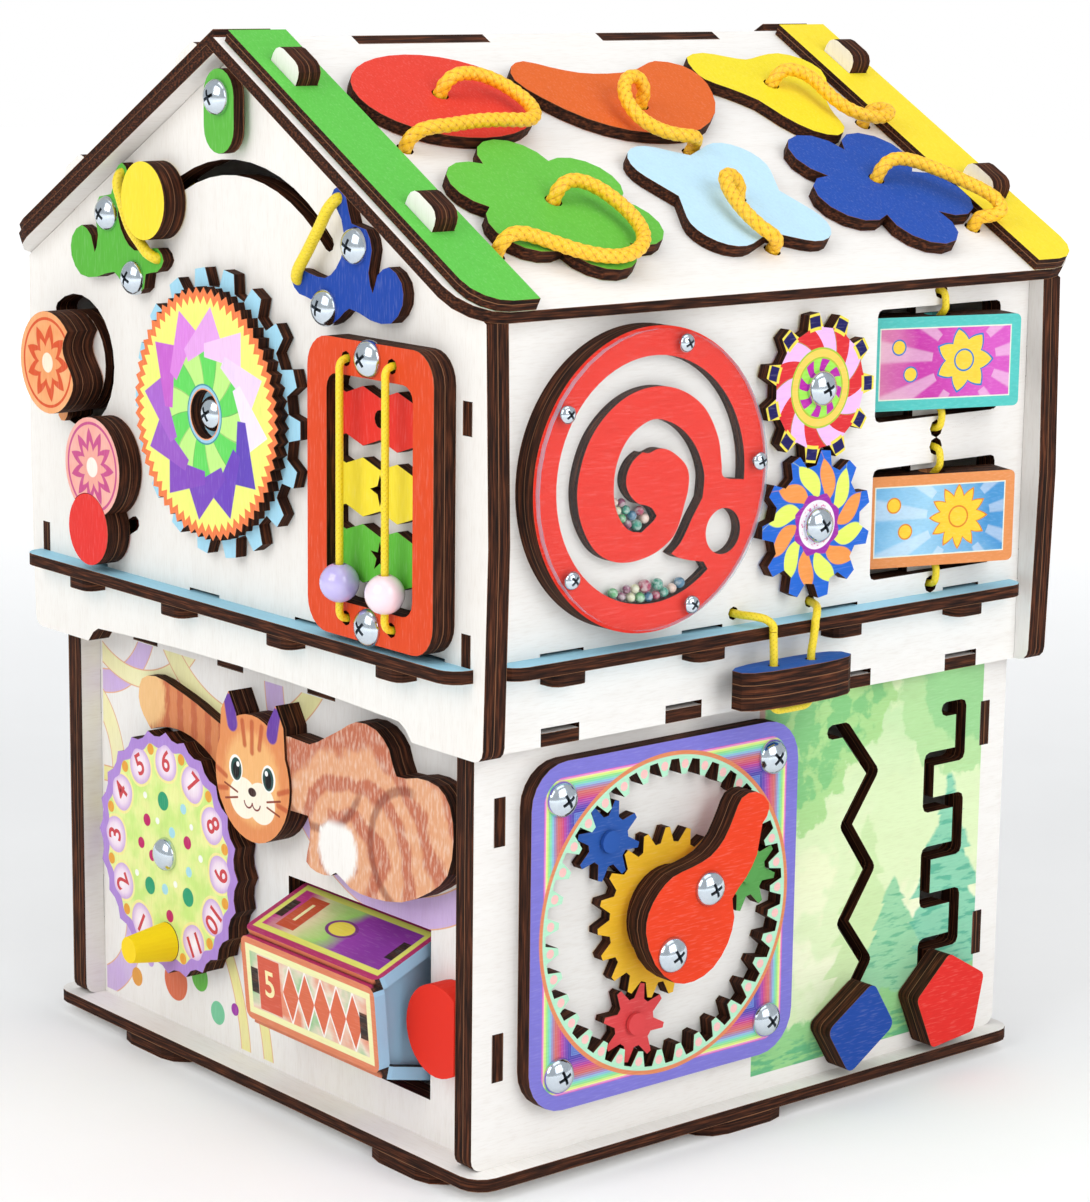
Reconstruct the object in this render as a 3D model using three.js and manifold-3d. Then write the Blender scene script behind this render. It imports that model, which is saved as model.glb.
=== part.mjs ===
// Busy board house in millimetres: +Z up, origin at the middle of the resting face, gable front at -Y, eave side at +X.
import * as THREE from "three";
import { mergeVertices } from "three/addons/utils/BufferGeometryUtils.js";
import Module from "manifold-3d";

const wasm = await Module();
wasm.setup();

// Sheet and fits
const sheet = 4.2;
const fit = 0.2;
const running = 0.4;
const overrun = 5;
const doubleWall = 2 * sheet;
const screwHeadRadius = 5.6;
const screwHeadHeight = 3;
const shankRadius = 2;
const washer = 1.6;
const washerRadius = 4;
const boreRadius = 2.4;

// Middle of the whole part, measured from the house's own middle
const middleAcross = 3;
const middleAlong = -4.35;

// Base
const baseHalfWidth = 123;
const baseHalfDepth = 122;
const baseCornerRadius = 8;
const footLength = 41;
const footDepth = 24;
const footRadius = 11;
const footFrontPlaces = [-62.5, 82.5];
const footSidePlace = -6.5;
const baseTop = 2 * sheet;

// Lower storey
const lowerSideFace = 115.7;
const lowerSideHalfDepth = 118.3;
const lowerFrontFace = 110.3;
const lowerTop = 142.5;
const lowerSideCornerRadius = 4;
const lowerFrontTop = 154;
const wallTabHeight = 15.3;
const wallTabPlaces = [44, 119.6];
const floorTabWidth = 15;
const floorFrontTabPlaces = [-78, -26, 26, 78];
const floorSideTabPlaces = [-89, -38, 38, 89];
const floorNotchSpare = 1.6;

// Upper storey
const upperSideFace = 121;
const gableFace = 124.4;
const gableHalfLow = 127.3;
const gableHalfMiddle = 129;
const gableMiddleHeight = 208;
const gableLugInner = 92.5;
const gableArchOuter = 86;
const gableArchLow = 147.9;
const gableArchMiddle = 150;
const gableCornerRadius = 4;
const sideTenonHeight = 10;
const sideTenonPlaces = [175.7, 245.7];

// Roof
const ridgeHeight = 352.8;
const eaveReach = 130;
const roofSlope = 30;
const roofHalfDepth = 132.7;
const roofCornerRadius = 15;
const fingerPlaces = [-52, 52];
const fingerWidth = 54;
const stripOuter = 130;
const stripWidth = 22;
const stripTop = 2.5;
const stripCornerRadius = 12;
const gableLugLength = 15;
const gableLugPlaces = [27.5, 107];
const gableLugRise = 6.4;
const gableLugRadius = 4;
const ropeRadius = 2.4;
const ropeHoleRadius = 3;

// Roof shapes: places are along the house and down the slope
const shapeLift = 20;
const ovalPlace = [-71.4, 42.8];
const ovalLength = 67.2;
const ovalHeight = 48.5;
const beanPlace = [3.6, 46.1];
const beanLength = 81.5;
const beanHeight = 44.8;
const beanOutlineShares = [
  [-0.36, 0.5], [-0.25, 0.41], [-0.13, 0.33], [0.01, 0.31], [0.16, 0.34], [0.25, 0.41],
  [0.34, 0.47], [0.46, 0.4], [0.5, 0.25], [0.47, 0.02], [0.37, -0.25], [0.2, -0.46],
  [0.03, -0.5], [-0.17, -0.44], [-0.33, -0.27], [-0.45, 0.01], [-0.5, 0.25], [-0.45, 0.43],
];
const knucklePlace = [74, 46.9];
const knuckleLength = 59.3;
const knuckleHeight = 52.8;
const knuckleOutlineShares = [
  [-0.29, 0.5], [-0.14, 0.45], [-0.01, 0.41], [0.13, 0.45], [0.3, 0.48], [0.44, 0.41],
  [0.5, 0.27], [0.41, 0.07], [0.27, -0.11], [0.22, -0.26], [0.19, -0.41], [0.07, -0.5],
  [-0.08, -0.44], [-0.19, -0.26], [-0.25, -0.07], [-0.38, 0.08], [-0.49, 0.19],
  [-0.5, 0.3], [-0.45, 0.45],
];
const cloudPlace = [-69, 103.8];
const cloudLobePlace = 22.5;
const cloudLobeRadius = 13.1;
const cloudLobes = 6;
const crossPlace = [4, 103.4];
const crossLobePlace = 23.3;
const crossLobeRadius = 12;
const crossWaist = 22;
const starPlace = [74, 103];
const starLobePlace = 21.7;
const starLobeRadius = 13.2;
const starLobes = 5;

// Roof ropes: each route is hand laid as along the house, down the slope and above the roof face
const ovalRopeRoute = [
  [-72.7, 42.1, 1], [-72.6, 42, 5], [-71.5, 41.6, 8.6], [-68.4, 41, 10.6], [-63.5, 40.4, 11], [-58, 41.4, 10.8],
  [-53, 44.6, 10.2], [-49.6, 49.6, 9.6], [-48, 55.2, 9.2], [-48.8, 60, 9], [-51.6, 63.6, 9], [-56.2, 65, 9.2],
  [-62.4, 65, 9.4], [-69, 64.8, 9.4], [-75.6, 64.8, 9.2], [-81.8, 65.4, 9], [-87.4, 66, 8.8], [-92.6, 66, 8.4],
  [-97, 65.6, 7], [-99.8, 65.2, 3.6], [-100.4, 65.3, 0],
];
const beanRopeRoute = [
  [4.8, 51.5, 1], [4.8, 51.4, 5.5], [4.6, 50.6, 9.4], [3, 48.9, 12.4], [-0.6, 48.2, 13.6], [-4.6, 50.2, 13],
  [-7.6, 54.4, 11.6], [-9, 59.6, 10.4], [-8.6, 65, 9.4], [-6.4, 69.8, 8.8], [-2.6, 73.6, 8.6], [2.4, 75.8, 8.6],
  [6.6, 76.4, 8.4], [9.8, 75.6, 6.8], [11.4, 74.4, 3.8], [11.6, 74, 0],
];
const knuckleRopeRoute = [
  [72.9, 41, 1], [73.1, 41, 5], [74.6, 40.8, 8.4], [78, 41, 10.2], [82, 43.6, 10.6], [84.4, 48.2, 10.4], [85, 53.6, 10],
  [85.6, 59, 9.6], [87.6, 64, 9.2], [91.4, 68, 9], [96.4, 70, 9], [101.6, 69.6, 9], [105.8, 67, 8.8],
  [106.4, 63.2, 7.8], [103.8, 61, 5.4], [102.6, 61.2, 2.4],
];
const cloudRopeRoute = [
  [-69.1, 102.4, 1], [-69, 102.3, 5], [-67.8, 101.6, 8.4], [-64, 100.6, 10.2], [-59.4, 101.4, 10.4], [-55.6, 104.8, 10.2],
  [-53, 110, 9.8], [-51.6, 116, 9.4], [-51.6, 122.2, 9], [-53.4, 128, 8.6], [-57.2, 132.6, 8.2], [-62.6, 135.6, 7.8],
  [-69, 136.6, 7.4], [-75.4, 135.2, 7.2], [-81.4, 132, 7], [-87, 127.8, 7], [-92.2, 124.2, 7.2], [-97, 122.4, 7.6],
  [-101.2, 122.2, 7], [-103.8, 122.6, 4], [-104, 122.5, 0],
];
const crossRopeRoute = [
  [5.6, 106, 1], [5.6, 105.8, 5.5], [4.8, 104.2, 8.8], [1.8, 102.8, 11], [-1.8, 104, 11.6], [-4, 108.4, 10.8],
  [-5, 113.8, 10], [-5.4, 118.6, 9.6], [-5.2, 123.6, 9.2], [-3.6, 128, 8.4], [-0.6, 130.4, 7.2], [2.4, 130.6, 5],
  [4, 129.6, 2], [4.2, 129.2, 0],
];
const starRopeRoute = [
  [74.1, 99.7, 1], [74.2, 99.6, 5], [75.4, 99, 8.4], [79, 98.2, 10.6], [83.6, 98.8, 11.4], [88.2, 101.2, 11.6],
  [92.6, 105, 11.6], [96.8, 109.4, 11.6], [100.8, 114.2, 11.6], [104.6, 119, 11.4], [107.4, 123.8, 10.6],
  [107.4, 127.4, 8.8], [104, 127.6, 7], [101.4, 125.2, 4.6], [101, 124.6, 0],
];
const ropeSteps = 24;
const ropeSides = 8;

// Shelves
const shelfTop = 170.7;
const frontShelfHalfWidth = 122.5;
const frontShelfReach = 8.2;
const shelfEndRadius = 7;
const rightShelfReach = 8.4;
const rightShelfEnds = [-115.6, 112];
const bracketWidth = 14;
const frontBracketPlaces = [-88, -31, 30, 88];
const rightBracketPlaces = [-90.2, -32.2, 28.9, 86.2];
const frontShelfTabPlaces = [-88, -20, 40, 100];
const rightShelfTabPlaces = [-88.7, -30.8, 29.7, 87.7];
const shelfTabWidth = 17;
const shelfSlotSpare = 1;
const bracketReach = 7;

// Gable front: tag, arc knob and bumpers
const tagPivotHeight = 334.2;
const tagWidth = 16.7;
const tagAbove = 9;
const tagBelow = 17.7;
const arcCentreHeight = 240.3;
const arcRadius = 71.7;
const arcHalfAngle = 44.2;
const arcSlotWidth = 5;
const arcKnobAngle = 35;
const arcKnobRadius = 12.8;
const pegRadius = 2.1;
const innerDiscRadius = 7;
const bumperPlace = [64.3, 288.6];
const bumperWidth = 56.7;
const bumperHeight = 43;
const bumperOutlineShares = [
  [-0.13, 0.43], [-0.07, 0.5], [0, 0.43], [0.05, 0.25], [0.18, 0.22], [0.23, 0.08], [0.2, -0.08], [0.24, -0.22],
  [0.28, -0.09], [0.38, -0.02], [0.49, -0.12], [0.5, -0.27], [0.4, -0.41], [0.22, -0.41], [0.03, -0.35],
  [-0.06, -0.43], [-0.18, -0.5], [-0.29, -0.44], [-0.31, -0.33], [-0.43, -0.3], [-0.5, -0.21], [-0.44, -0.12],
  [-0.34, -0.14], [-0.19, -0.16], [-0.09, -0.08], [-0.02, 0.08], [-0.04, 0.27],
];
const bumperHolePlaces = [[60.5, 306.4], [39.6, 280.2]];
const bumperScrewPlaces = [[69.3, 292.7], [53.8, 272.7]];
const bumperHoleRadius = 1.3;
const elasticRadius = 1.7;
const elasticShares = [0.1, 0.35, 0.65, 0.9];
const greenCordPlaces = [[-60, 303.6], [-57.5, 297.5], [-52.8, 289.6], [-46.5, 284.5], [-42, 281.6]];

// Gable front: two turning faces
const orangePlace = [-96, 240.5];
const orangeRadius = 17.5;
const orangeThickness = 12;
const orangeSlotRadius = 20;
const orangeSlotHalfAngle = 125;
const orangePegAngle = -110;
const orangeEarRadius = 3;
const orangeSlotWidth = 5.5;
const orangeWaveDepth = 3.2;
const orangeWaveAngle = 42;
const pinkPlace = [-73.5, 207];
const pinkRadius = 17;
const pinkSlotRadius = 22;
const pinkKnobAngle = -98;
const pinkSlotReach = 41;
const redKnobRadius = 12.3;
const faceKnobThickness = 8.9;
const facePinRadius = 3;

// Gable front: large gear
const gearPlace = [-6, 233];
const gearRearTip = 47;
const gearRearRoot = 41;
const gearRearTeeth = 18;
const gearFrontTip = 41;
const gearFrontRoot = 38.8;
const gearFrontTeeth = 60;
const gearEyeRadius = 8;
const gearToothShares = [1.2, 0.8];

// Gable front: bead frame
const beadFramePlace = [81.7, 218.9];
const beadFrameWidth = 63.4;
const beadFrameHeight = 92.2;
const beadFrameRadius = 10;
const beadWindowWidth = 43.4;
const beadWindowHeight = 70.3;
const beadWindowRadius = 5;
const waveBarPlaces = [199, 219.6, 241.5];
const waveBarHeight = 15.5;
const waveBarWave = 1.4;
const waveBarWaves = 3;
const roundHoleRadius = 2.8;
const starHoleTip = 5;
const starHoleWaist = 1.8;
const beadStringPlaces = [70, 93];
const beadStringHoleReach = 40.1;
const beadStringRadius = 1.7;
const beadStringBend = 2.4;
const beadStringGap = 2.4;
const cornerShare = 0.29;
const beadRadius = 6.2;
const beadRestHeight = 190.2;
const beadHoleRadius = 2.4;
const beadFrameScrewReach = 41.1;

// Right side: maze
const mazePlace = [-60.4, 222.7];
const mazeRadius = 47.4;
const mazeRingInner = 38.4;
const mazeWindowThickness = 2;
const mazeWindowInset = 0.9;
const mazeShankRadius = 1.2;
const mazeScrewRadius = 43;
const mazeScrewAngles = [3, 75, 147, 219, 291];
const mazeScrewHeadRadius = 2.6;
const mazeScrewHeadHeight = 1.2;
const mazeArmStart = -58;
const mazeArmStep = 32.333;
const mazeArmOuterShares = [0.85, 0.83, 0.7, 0.655, 0.63, 0.615, 0.6, 0.58, 0.535, 0.49, 0.45, 0.41, 0.35];
const mazeArmInnerShares = [0.6, 0.5, 0.465, 0.44, 0.425, 0.41, 0.395, 0.38, 0.345, 0.3, 0.26, 0.2, 0.1];
const mazeCorePlace = [2.9, -1];
const mazeCoreRadius = 11.4;
const mazeEyePlace = [29.8, -18.9];
const mazeEyeRadius = 7.3;

// Right side: two meshing gears
const pairGearPlaces = [[13.5, 245], [13.7, 200.7]];
const pairTeeth = 11;
const pairRadii = [19.4, 24.2];
const pairHalves = [3.5, 2.1];
const pairTurn = 0;

// Right side: two turning boards
const flipPlace = 73;
const flipAxisReach = 119.8;
const flipWindowWidth = 58.5;
const flipWindowHeight = 37;
const flipWindowPlaces = [249, 196.5];
const flipTongueWidth = 14.5;
const flipTongueDepth = 2.7;
const flipBoardWidth = 56.4;
const flipBoardHeight = 30.8;
const flipBoardThickness = 12.6;
const flipBoardCorner = 2;
const flipRestAngle = 17;
const flipCordRadius = 1.5;
const flipCordBend = 2.6;
const flipCordDrop = 3.9;
const flipCordSlant = 3.6;
const flipFlare = 3;
const flipCordHoleHeights = [272.5, 226.3, 220.3, 173.6];
const flipCordHoleRadius = 3;

// Right side: hanging block
const swingHolePlaces = [[-17.5, 174.6], [16.3, 174.6]];
const swingCordRadius = 1.7;
const swingMateShare = 0.974;
const swingHoleRadius = 2.2;
const swingPlace = -1;
const swingReach = 131.6;
const swingLength = 48.3;
const swingWidth = 13;
const swingBottom = 146;
const swingThickness = 12.4;
const swingHoleSpacing = 16.5;
const swingOutlineShares = [
  [-1, -0.35], [-0.86, -0.72], [-0.6, -0.92], [-0.3, -1], [0.3, -1], [0.6, -0.92], [0.86, -0.72], [1, -0.35],
  [1, 0.35], [0.86, 0.72], [0.6, 0.92], [0.3, 1], [-0.3, 1], [-0.6, 0.92], [-0.86, 0.72], [-1, 0.35],
];
const swingAnchorRoute = [
  [108, -17.5, 174.6], [112, -17.5, 174.6], [116, -17.5, 174.6], [120, -17.4, 174.6], [124, -16.4, 174.4],
  [127.6, -14.2, 174.2], [130, -12, 173.5], [131.4, -10.4, 172], [131.6, -9.8, 170.8],
  [131.6, -9.8, 169.9],
];
const swingLoopRoute = [
  [131.6, -9.8, 168], [131.6, -9.5, 164.6], [131.6, -9.3, 161], [131.6, -9.25, 156],
  [131.6, -9.25, 147.6], [131.6, -9, 145], [131.6, -7.2, 143.6], [131.6, -4, 143.4], [131.6, 2, 143.4],
  [131.6, 5.2, 143.6], [131.6, 7, 145], [131.6, 7.25, 147.6], [131.6, 7.25, 156], [131.6, 7.4, 161],
  [131.6, 8.1, 164.6], [131.6, 9, 168],
];

// Lower front: dial
const dialPlace = [-52.5, 73.5];
const dialRadius = 43;
const dialScallopDepth = 2.6;
const dialScallops = 24;
const conePlace = 31.5;
const coneBaseRadius = 7;
const coneTipRadius = 4.6;
const coneLength = 16;

// Lower front: drum
const drumPlace = [46.1, 50];
const drumAxisReach = 108.2;
const drumApothem = 22;
const drumSides = 5;
const drumTileLength = 73;
const drumTileWidth = 29;
const drumTileCorner = 3;
const drumEndReach = 33.4;
const drumAxleRadius = 1.8;
const drumWindowWidth = 77.2;
const drumWindowHeight = 56.3;
const drumRestTurn = 185;
const redCapPlace = [98, 50];
const redCapRadius = 15;

// Lower front: cat
const catBodyPlace = [58.1, 113.3];
const catBodyWidth = 96.3;
const catBodyHeight = 55.7;
const catBodyOutlineShares = [
  [-0.5, 0.26], [-0.28, 0.28], [-0.19, 0.35], [-0.1, 0.43], [-0.02, 0.5], [0.09, 0.49], [0.16, 0.4], [0.2, 0.26],
  [0.31, 0.29], [0.42, 0.28], [0.48, 0.19], [0.5, 0], [0.47, -0.21], [0.38, -0.34], [0.23, -0.46], [0.07, -0.5],
  [-0.05, -0.49], [-0.13, -0.43], [-0.16, -0.46], [-0.24, -0.47], [-0.3, -0.43], [-0.28, -0.3], [-0.29, -0.15],
  [-0.5, -0.15],
];
const catArmPlace = [-40.6, 121.2];
const catArmWidth = 71.2;
const catArmHeight = 24.3;
const catArmOutlineShares = [
  [0.2, 0.12], [0.01, 0.29], [-0.18, 0.42], [-0.35, 0.5], [-0.47, 0.4], [-0.5, 0.12], [-0.46, -0.12],
  [-0.34, -0.36], [-0.27, -0.22], [-0.11, -0.29], [0.05, -0.39], [0.16, -0.49], [0.5, -0.5], [0.5, -0.01],
];
const catHeadPlace = [0.1, 111.2];
const catHeadHalfWidth = 21.3;
const catHeadHalfHeight = 21.6;
const catHeadThickness = 9.4;
const catEarReach = 11.5;
const catEarHalfWidth = 8;
const catEarHeight = 138.5;
const catEarShare = 0.55;

// Lower right: planetary gears
const sunPlace = [-43.8, 80.3];
const ringFrameSize = 113;
const ringFrameRadius = 14;
const ringFrameThickness = 5.8;
const ringScrewReach = 44.6;
const ringTeeth = 35;
const sunTeeth = 19;
const planetTeeth = 8;
const planetOrbit = 36.5;
const sunRadii = [23.1, 27.9];
const sunHalves = [2.75, 0.95];
const planetRadii = [8.2, 13];
const planetHalves = [2.2, 0.9];
const ringRadii = [50.4, 45.3];
const ringHalves = [2.9, 1.05];
const ringTurn = 0;
const planetAngles = [131, 11, 251];
const carrierRadius = 51.4;
const carrierPinHeadRadius = 3.6;
const carrierPinHeadHeight = 1.2;
const crankPlace = [7.1, 8.9];
const crankWidth = 51.7;
const crankHeight = 58.3;
const crankOutlineShares = [
  [-0.5, -0.16], [-0.48, -0.05], [-0.4, 0.05], [-0.29, 0.12], [-0.13, 0.15], [0.02, 0.19], [0.13, 0.27],
  [0.21, 0.39], [0.27, 0.48], [0.39, 0.5], [0.5, 0.42], [0.49, 0.35], [0.45, 0.31], [0.41, 0.14], [0.32, 0.02],
  [0.21, -0.08], [0.23, -0.19], [0.18, -0.33], [0.06, -0.45], [-0.1, -0.5], [-0.26, -0.48], [-0.42, -0.35],
];
const crankScrewPlaces = [[7.7, 9.5], [-7.7, -9.5]];
const crankSpacerRadius = 16;

// Lower right: two slots and their knobs
const slotWidth = 5;
const zigzagRoute = [
  [34, 127], [40, 127], [53.7, 110.5], [41.6, 93.7], [53.4, 77], [41.4, 59.7], [53, 44.5], [41.3, 27.4],
];
const squareRoute = [
  [88.8, 127.2], [96.2, 127.2], [96.2, 110.5], [81.2, 110.5], [81.2, 94.2], [96.2, 94.2], [96.2, 77], [81.2, 77],
  [81.2, 60], [96.2, 60], [96.2, 44.2], [81.2, 44.2], [81.2, 27.3],
];
const slideKnobThickness = 9.4;
const rhombPlace = [42.2, 25];
const rhombLength = 25;
const rhombWidth = 20.4;
const rhombCorner = 3;
const rhombTurn = 32;
const pentagonPlace = [86.1, 25.6];
const pentagonRadius = 17.6;
const pentagonCorner = 2.4;
const pentagonTurn = 95.5;

// Paint and material colours
const plyEdge = 0x6b3f22;
const whitePaint = 0xf2eee6;
const skyPaint = 0x9fd4ea;
const redPaint = 0xd92a1c;
const orangePaint = 0xe0641f;
const yellowPaint = 0xf2dc3a;
const greenPaint = 0x4fb83e;
const bluePaint = 0x2a55a8;
const lightBluePaint = 0xa9d8ee;
const deepBluePaint = 0x1f57c4;
const lilacPaint = 0xb49ae0;
const pinkPaint = 0xf0a090;
const catPaint = 0xe08a50;
const cordYellow = 0xf0c030;
const pearlLilac = 0xa79be0;
const pearlPink = 0xe6c6e6;
const clearPane = 0xdfe9ee;

// A screw head's outline as shares of its radius and height
const domeShares = [[1, 0], [1, 0.25], [0.72, 0.78], [0, 1]];

// Point lists
const degrees = Math.PI / 180;

function polar(x, y, radius, angle) {
  return [x + radius * Math.cos(angle * degrees), y + radius * Math.sin(angle * degrees)];
}

function arcPoints(x, y, radius, from, to, steps) {
  const points = [];
  for (let i = 0; i <= steps; i += 1) {
    points.push(polar(x, y, radius, from + ((to - from) * i) / steps));
  }
  return points;
}

function circle(x, y, radius, sides = 32) {
  return arcPoints(x, y, radius, 0, 360 - 360 / sides, sides - 1);
}

function box(x0, y0, x1, y1) {
  return [[x0, y0], [x1, y0], [x1, y1], [x0, y1]];
}

function roundedBox(x, y, width, height, radius, steps = 4) {
  const w = width / 2 - radius;
  const h = height / 2 - radius;
  return [
    ...arcPoints(x + w, y + h, radius, 0, 90, steps),
    ...arcPoints(x - w, y + h, radius, 90, 180, steps),
    ...arcPoints(x - w, y - h, radius, 180, 270, steps),
    ...arcPoints(x + w, y - h, radius, 270, 360, steps),
  ];
}

function capsule(a, b, radius, steps = 4) {
  const angle = Math.atan2(b[1] - a[1], b[0] - a[0]) / degrees;
  return [
    ...arcPoints(b[0], b[1], radius, angle - 90, angle + 90, steps),
    ...arcPoints(a[0], a[1], radius, angle + 90, angle + 270, steps),
  ];
}

function roundedPolygon(x, y, radius, corner, corners, turn, steps = 3) {
  const points = [];
  const inset = radius - corner / Math.cos(Math.PI / corners);
  for (let i = 0; i < corners; i += 1) {
    const angle = turn + (360 * i) / corners;
    const at = polar(x, y, inset, angle);
    points.push(...arcPoints(at[0], at[1], corner, angle - 180 / corners, angle + 180 / corners, steps));
  }
  return points;
}

function turned(points, x, y, angle) {
  const c = Math.cos(angle * degrees);
  const s = Math.sin(angle * degrees);
  return points.map(([px, py]) => [x + (px - x) * c - (py - y) * s, y + (px - x) * s + (py - y) * c]);
}

function smooth(shares, place, width, height, perSpan = 2) {
  const knots = shares.map(([x, y]) => new THREE.Vector3(place[0] + x * width, place[1] + y * height, 0));
  const curve = new THREE.CatmullRomCurve3(knots, true, "centripetal");
  const points = curve.getPoints(shares.length * perSpan);
  points.pop();
  return points.map((p) => [p.x, p.y]);
}

function mirrored(points) {
  return points.map(([x, y]) => [-x, y]).reverse();
}

// Solids
function frameOf(across, up, out, origin) {
  const matrix = new THREE.Matrix4().makeBasis(
    new THREE.Vector3(...across),
    new THREE.Vector3(...up),
    new THREE.Vector3(...out),
  );
  matrix.setPosition(new THREE.Vector3(...origin));
  return matrix;
}

function solid(geometry, matrix) {
  const bare = geometry.index ? geometry.toNonIndexed() : geometry.clone();
  bare.deleteAttribute("normal");
  bare.deleteAttribute("uv");
  bare.applyMatrix4(matrix);
  const merged = mergeVertices(bare, 1e-4);
  return new wasm.Manifold(
    new wasm.Mesh({
      numProp: 3,
      vertProperties: merged.attributes.position.array,
      triVerts: new Uint32Array(merged.index.array),
    }),
  );
}

function slab(frame, points, from, to, holes = []) {
  const shape = new THREE.Shape(points.map(([x, y]) => new THREE.Vector2(x, y)));
  for (const hole of holes) {
    shape.holes.push(new THREE.Path(hole.map(([x, y]) => new THREE.Vector2(x, y))));
  }
  const geometry = new THREE.ExtrudeGeometry(shape, { depth: to - from, bevelEnabled: false, steps: 1 });
  geometry.translate(0, 0, from);
  return solid(geometry, frame);
}

function rod(frame, place, radius, from, to, sides = 12) {
  return slab(frame, circle(place[0], place[1], radius, sides), from, to);
}

function ring(frame, place, outer, inner, from, to, sides = 48) {
  return slab(frame, circle(place[0], place[1], outer, sides), from, to, [
    circle(place[0], place[1], inner, sides).reverse(),
  ]);
}

function turnedSolid(frame, place, base, profile, sides = 20) {
  const points = profile.map(([r, h]) => new THREE.Vector2(r, h));
  const geometry = new THREE.LatheGeometry(points, sides);
  geometry.rotateX(Math.PI / 2);
  geometry.translate(place[0], place[1], base);
  return solid(geometry, frame);
}

function join(first, ...rest) {
  return rest.reduce((sum, next) => sum.add(next), first);
}

function cut(first, ...rest) {
  return rest.reduce((left, next) => left.subtract(next), first);
}

function dome(frame, place, seat, radius = screwHeadRadius, height = screwHeadHeight, sides = 12) {
  const profile = [[0, 0], ...domeShares.map(([r, h]) => [r * radius, h * height])];
  return turnedSolid(frame, place, seat, profile, sides);
}

function screw(frame, place, bottom, seat) {
  return join(rod(frame, place, shankRadius, bottom, seat + screwHeadHeight / 4), dome(frame, place, seat));
}

function tube(points, radius, steps, sides) {
  const knots = points.map((p) => new THREE.Vector3(...p));
  const path = new THREE.CatmullRomCurve3(knots, false, "centripetal");
  const shape = new THREE.Shape(circle(0, 0, radius, sides).map(([x, y]) => new THREE.Vector2(x, y)));
  const geometry = new THREE.ExtrudeGeometry(shape, { steps, bevelEnabled: false, extrudePath: path });
  return solid(geometry, new THREE.Matrix4());
}

function along(frame, points) {
  return points.map((p) => new THREE.Vector3(...p).applyMatrix4(frame).toArray());
}

// A tooth is a straight sided wedge: its half widths are given at its root and its tip.
function toothed(place, teeth, radii, halves, turn) {
  const points = [];
  const sides = [-1, 1];
  for (let i = 0; i < teeth; i += 1) {
    const middle = turn + (360 * i) / teeth;
    for (const side of sides) {
      const order = side < 0 ? [0, 1] : [1, 0];
      for (const k of order) {
        const angle = middle + (side * halves[k]) / radii[k] / degrees;
        points.push(polar(place[0], place[1], radii[k], angle));
      }
    }
  }
  return points;
}

const root = new THREE.Group();
root.name = "busy_board_house";

function add(name, made, colour, roughness = 0.55, metalness = 0) {
  const mesh = made.getMesh();
  const geometry = new THREE.BufferGeometry();
  geometry.setAttribute("position", new THREE.BufferAttribute(mesh.vertProperties, 3));
  geometry.setIndex(new THREE.BufferAttribute(mesh.triVerts, 1));
  geometry.computeVertexNormals();
  const material = new THREE.MeshStandardMaterial({ color: colour, roughness, metalness });
  const piece = new THREE.Mesh(geometry, material);
  piece.name = name;
  root.add(piece);
}

// Frames: across, up and out of each face
const slopeCos = Math.cos(roofSlope * degrees);
const slopeSin = Math.sin(roofSlope * degrees);
const level = new THREE.Matrix4();
const gableFrame = frameOf([1, 0, 0], [0, 0, 1], [0, -1, 0], [0, -gableFace, 0]);
const rearFrame = frameOf([-1, 0, 0], [0, 0, 1], [0, 1, 0], [0, gableFace, 0]);
const frontFrame = frameOf([1, 0, 0], [0, 0, 1], [0, -1, 0], [0, -lowerFrontFace, 0]);
const backFrame = frameOf([-1, 0, 0], [0, 0, 1], [0, 1, 0], [0, lowerFrontFace, 0]);
const rightFrame = frameOf([0, 1, 0], [0, 0, 1], [1, 0, 0], [upperSideFace, 0, 0]);
const leftFrame = frameOf([0, -1, 0], [0, 0, 1], [-1, 0, 0], [-upperSideFace, 0, 0]);
const lowRightFrame = frameOf([0, 1, 0], [0, 0, 1], [1, 0, 0], [lowerSideFace, 0, 0]);
const lowLeftFrame = frameOf([0, -1, 0], [0, 0, 1], [-1, 0, 0], [-lowerSideFace, 0, 0]);
const roofFrame = frameOf([0, 1, 0], [-slopeCos, 0, slopeSin], [slopeSin, 0, slopeCos], [0, 0, ridgeHeight]);
const farRoofFrame = frameOf([0, -1, 0], [slopeCos, 0, slopeSin], [-slopeSin, 0, slopeCos], [0, 0, ridgeHeight]);

// Base plate with the feet that it stands on
function basePlate() {
  const feet = [];
  const footIn = baseHalfDepth - footDepth / 2;
  for (const side of [-1, 1]) {
    for (const x of footFrontPlaces) {
      feet.push(slab(level, roundedBox(x, side * footIn, footLength, footDepth, footRadius, 3), 0, sheet));
    }
    const sideIn = side * (baseHalfWidth - footDepth / 2);
    feet.push(slab(level, roundedBox(sideIn, footSidePlace, footDepth, footLength, footRadius, 3), 0, sheet));
  }
  const plan = roundedBox(0, 0, 2 * baseHalfWidth, 2 * baseHalfDepth, baseCornerRadius);
  return join(slab(level, plan, sheet, baseTop), ...feet);
}

// Lower storey walls
const sideInner = lowerSideFace - doubleWall;
const tabInner = lowerFrontFace - sheet;

function lowerSideWall(frame) {
  const half = lowerSideHalfDepth;
  const r = lowerSideCornerRadius;
  const plan = [
    ...arcPoints(-half + r, baseTop + r, r, 180, 270, 4),
    ...arcPoints(half - r, baseTop + r, r, 270, 360, 4),
    [half, lowerTop],
    [-half, lowerTop],
  ];
  const slots = [];
  for (const side of [-1, 1]) {
    for (const z of wallTabPlaces) {
      const middle = (side * (lowerFrontFace + tabInner)) / 2;
      const slot = roundedBox(middle, z, sheet + 2 * fit, wallTabHeight + 2 * fit, fit, 1);
      slots.push(slab(frame, slot, -doubleWall - overrun, overrun));
    }
  }
  return cut(slab(frame, plan, -doubleWall, 0), ...slots);
}

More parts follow.
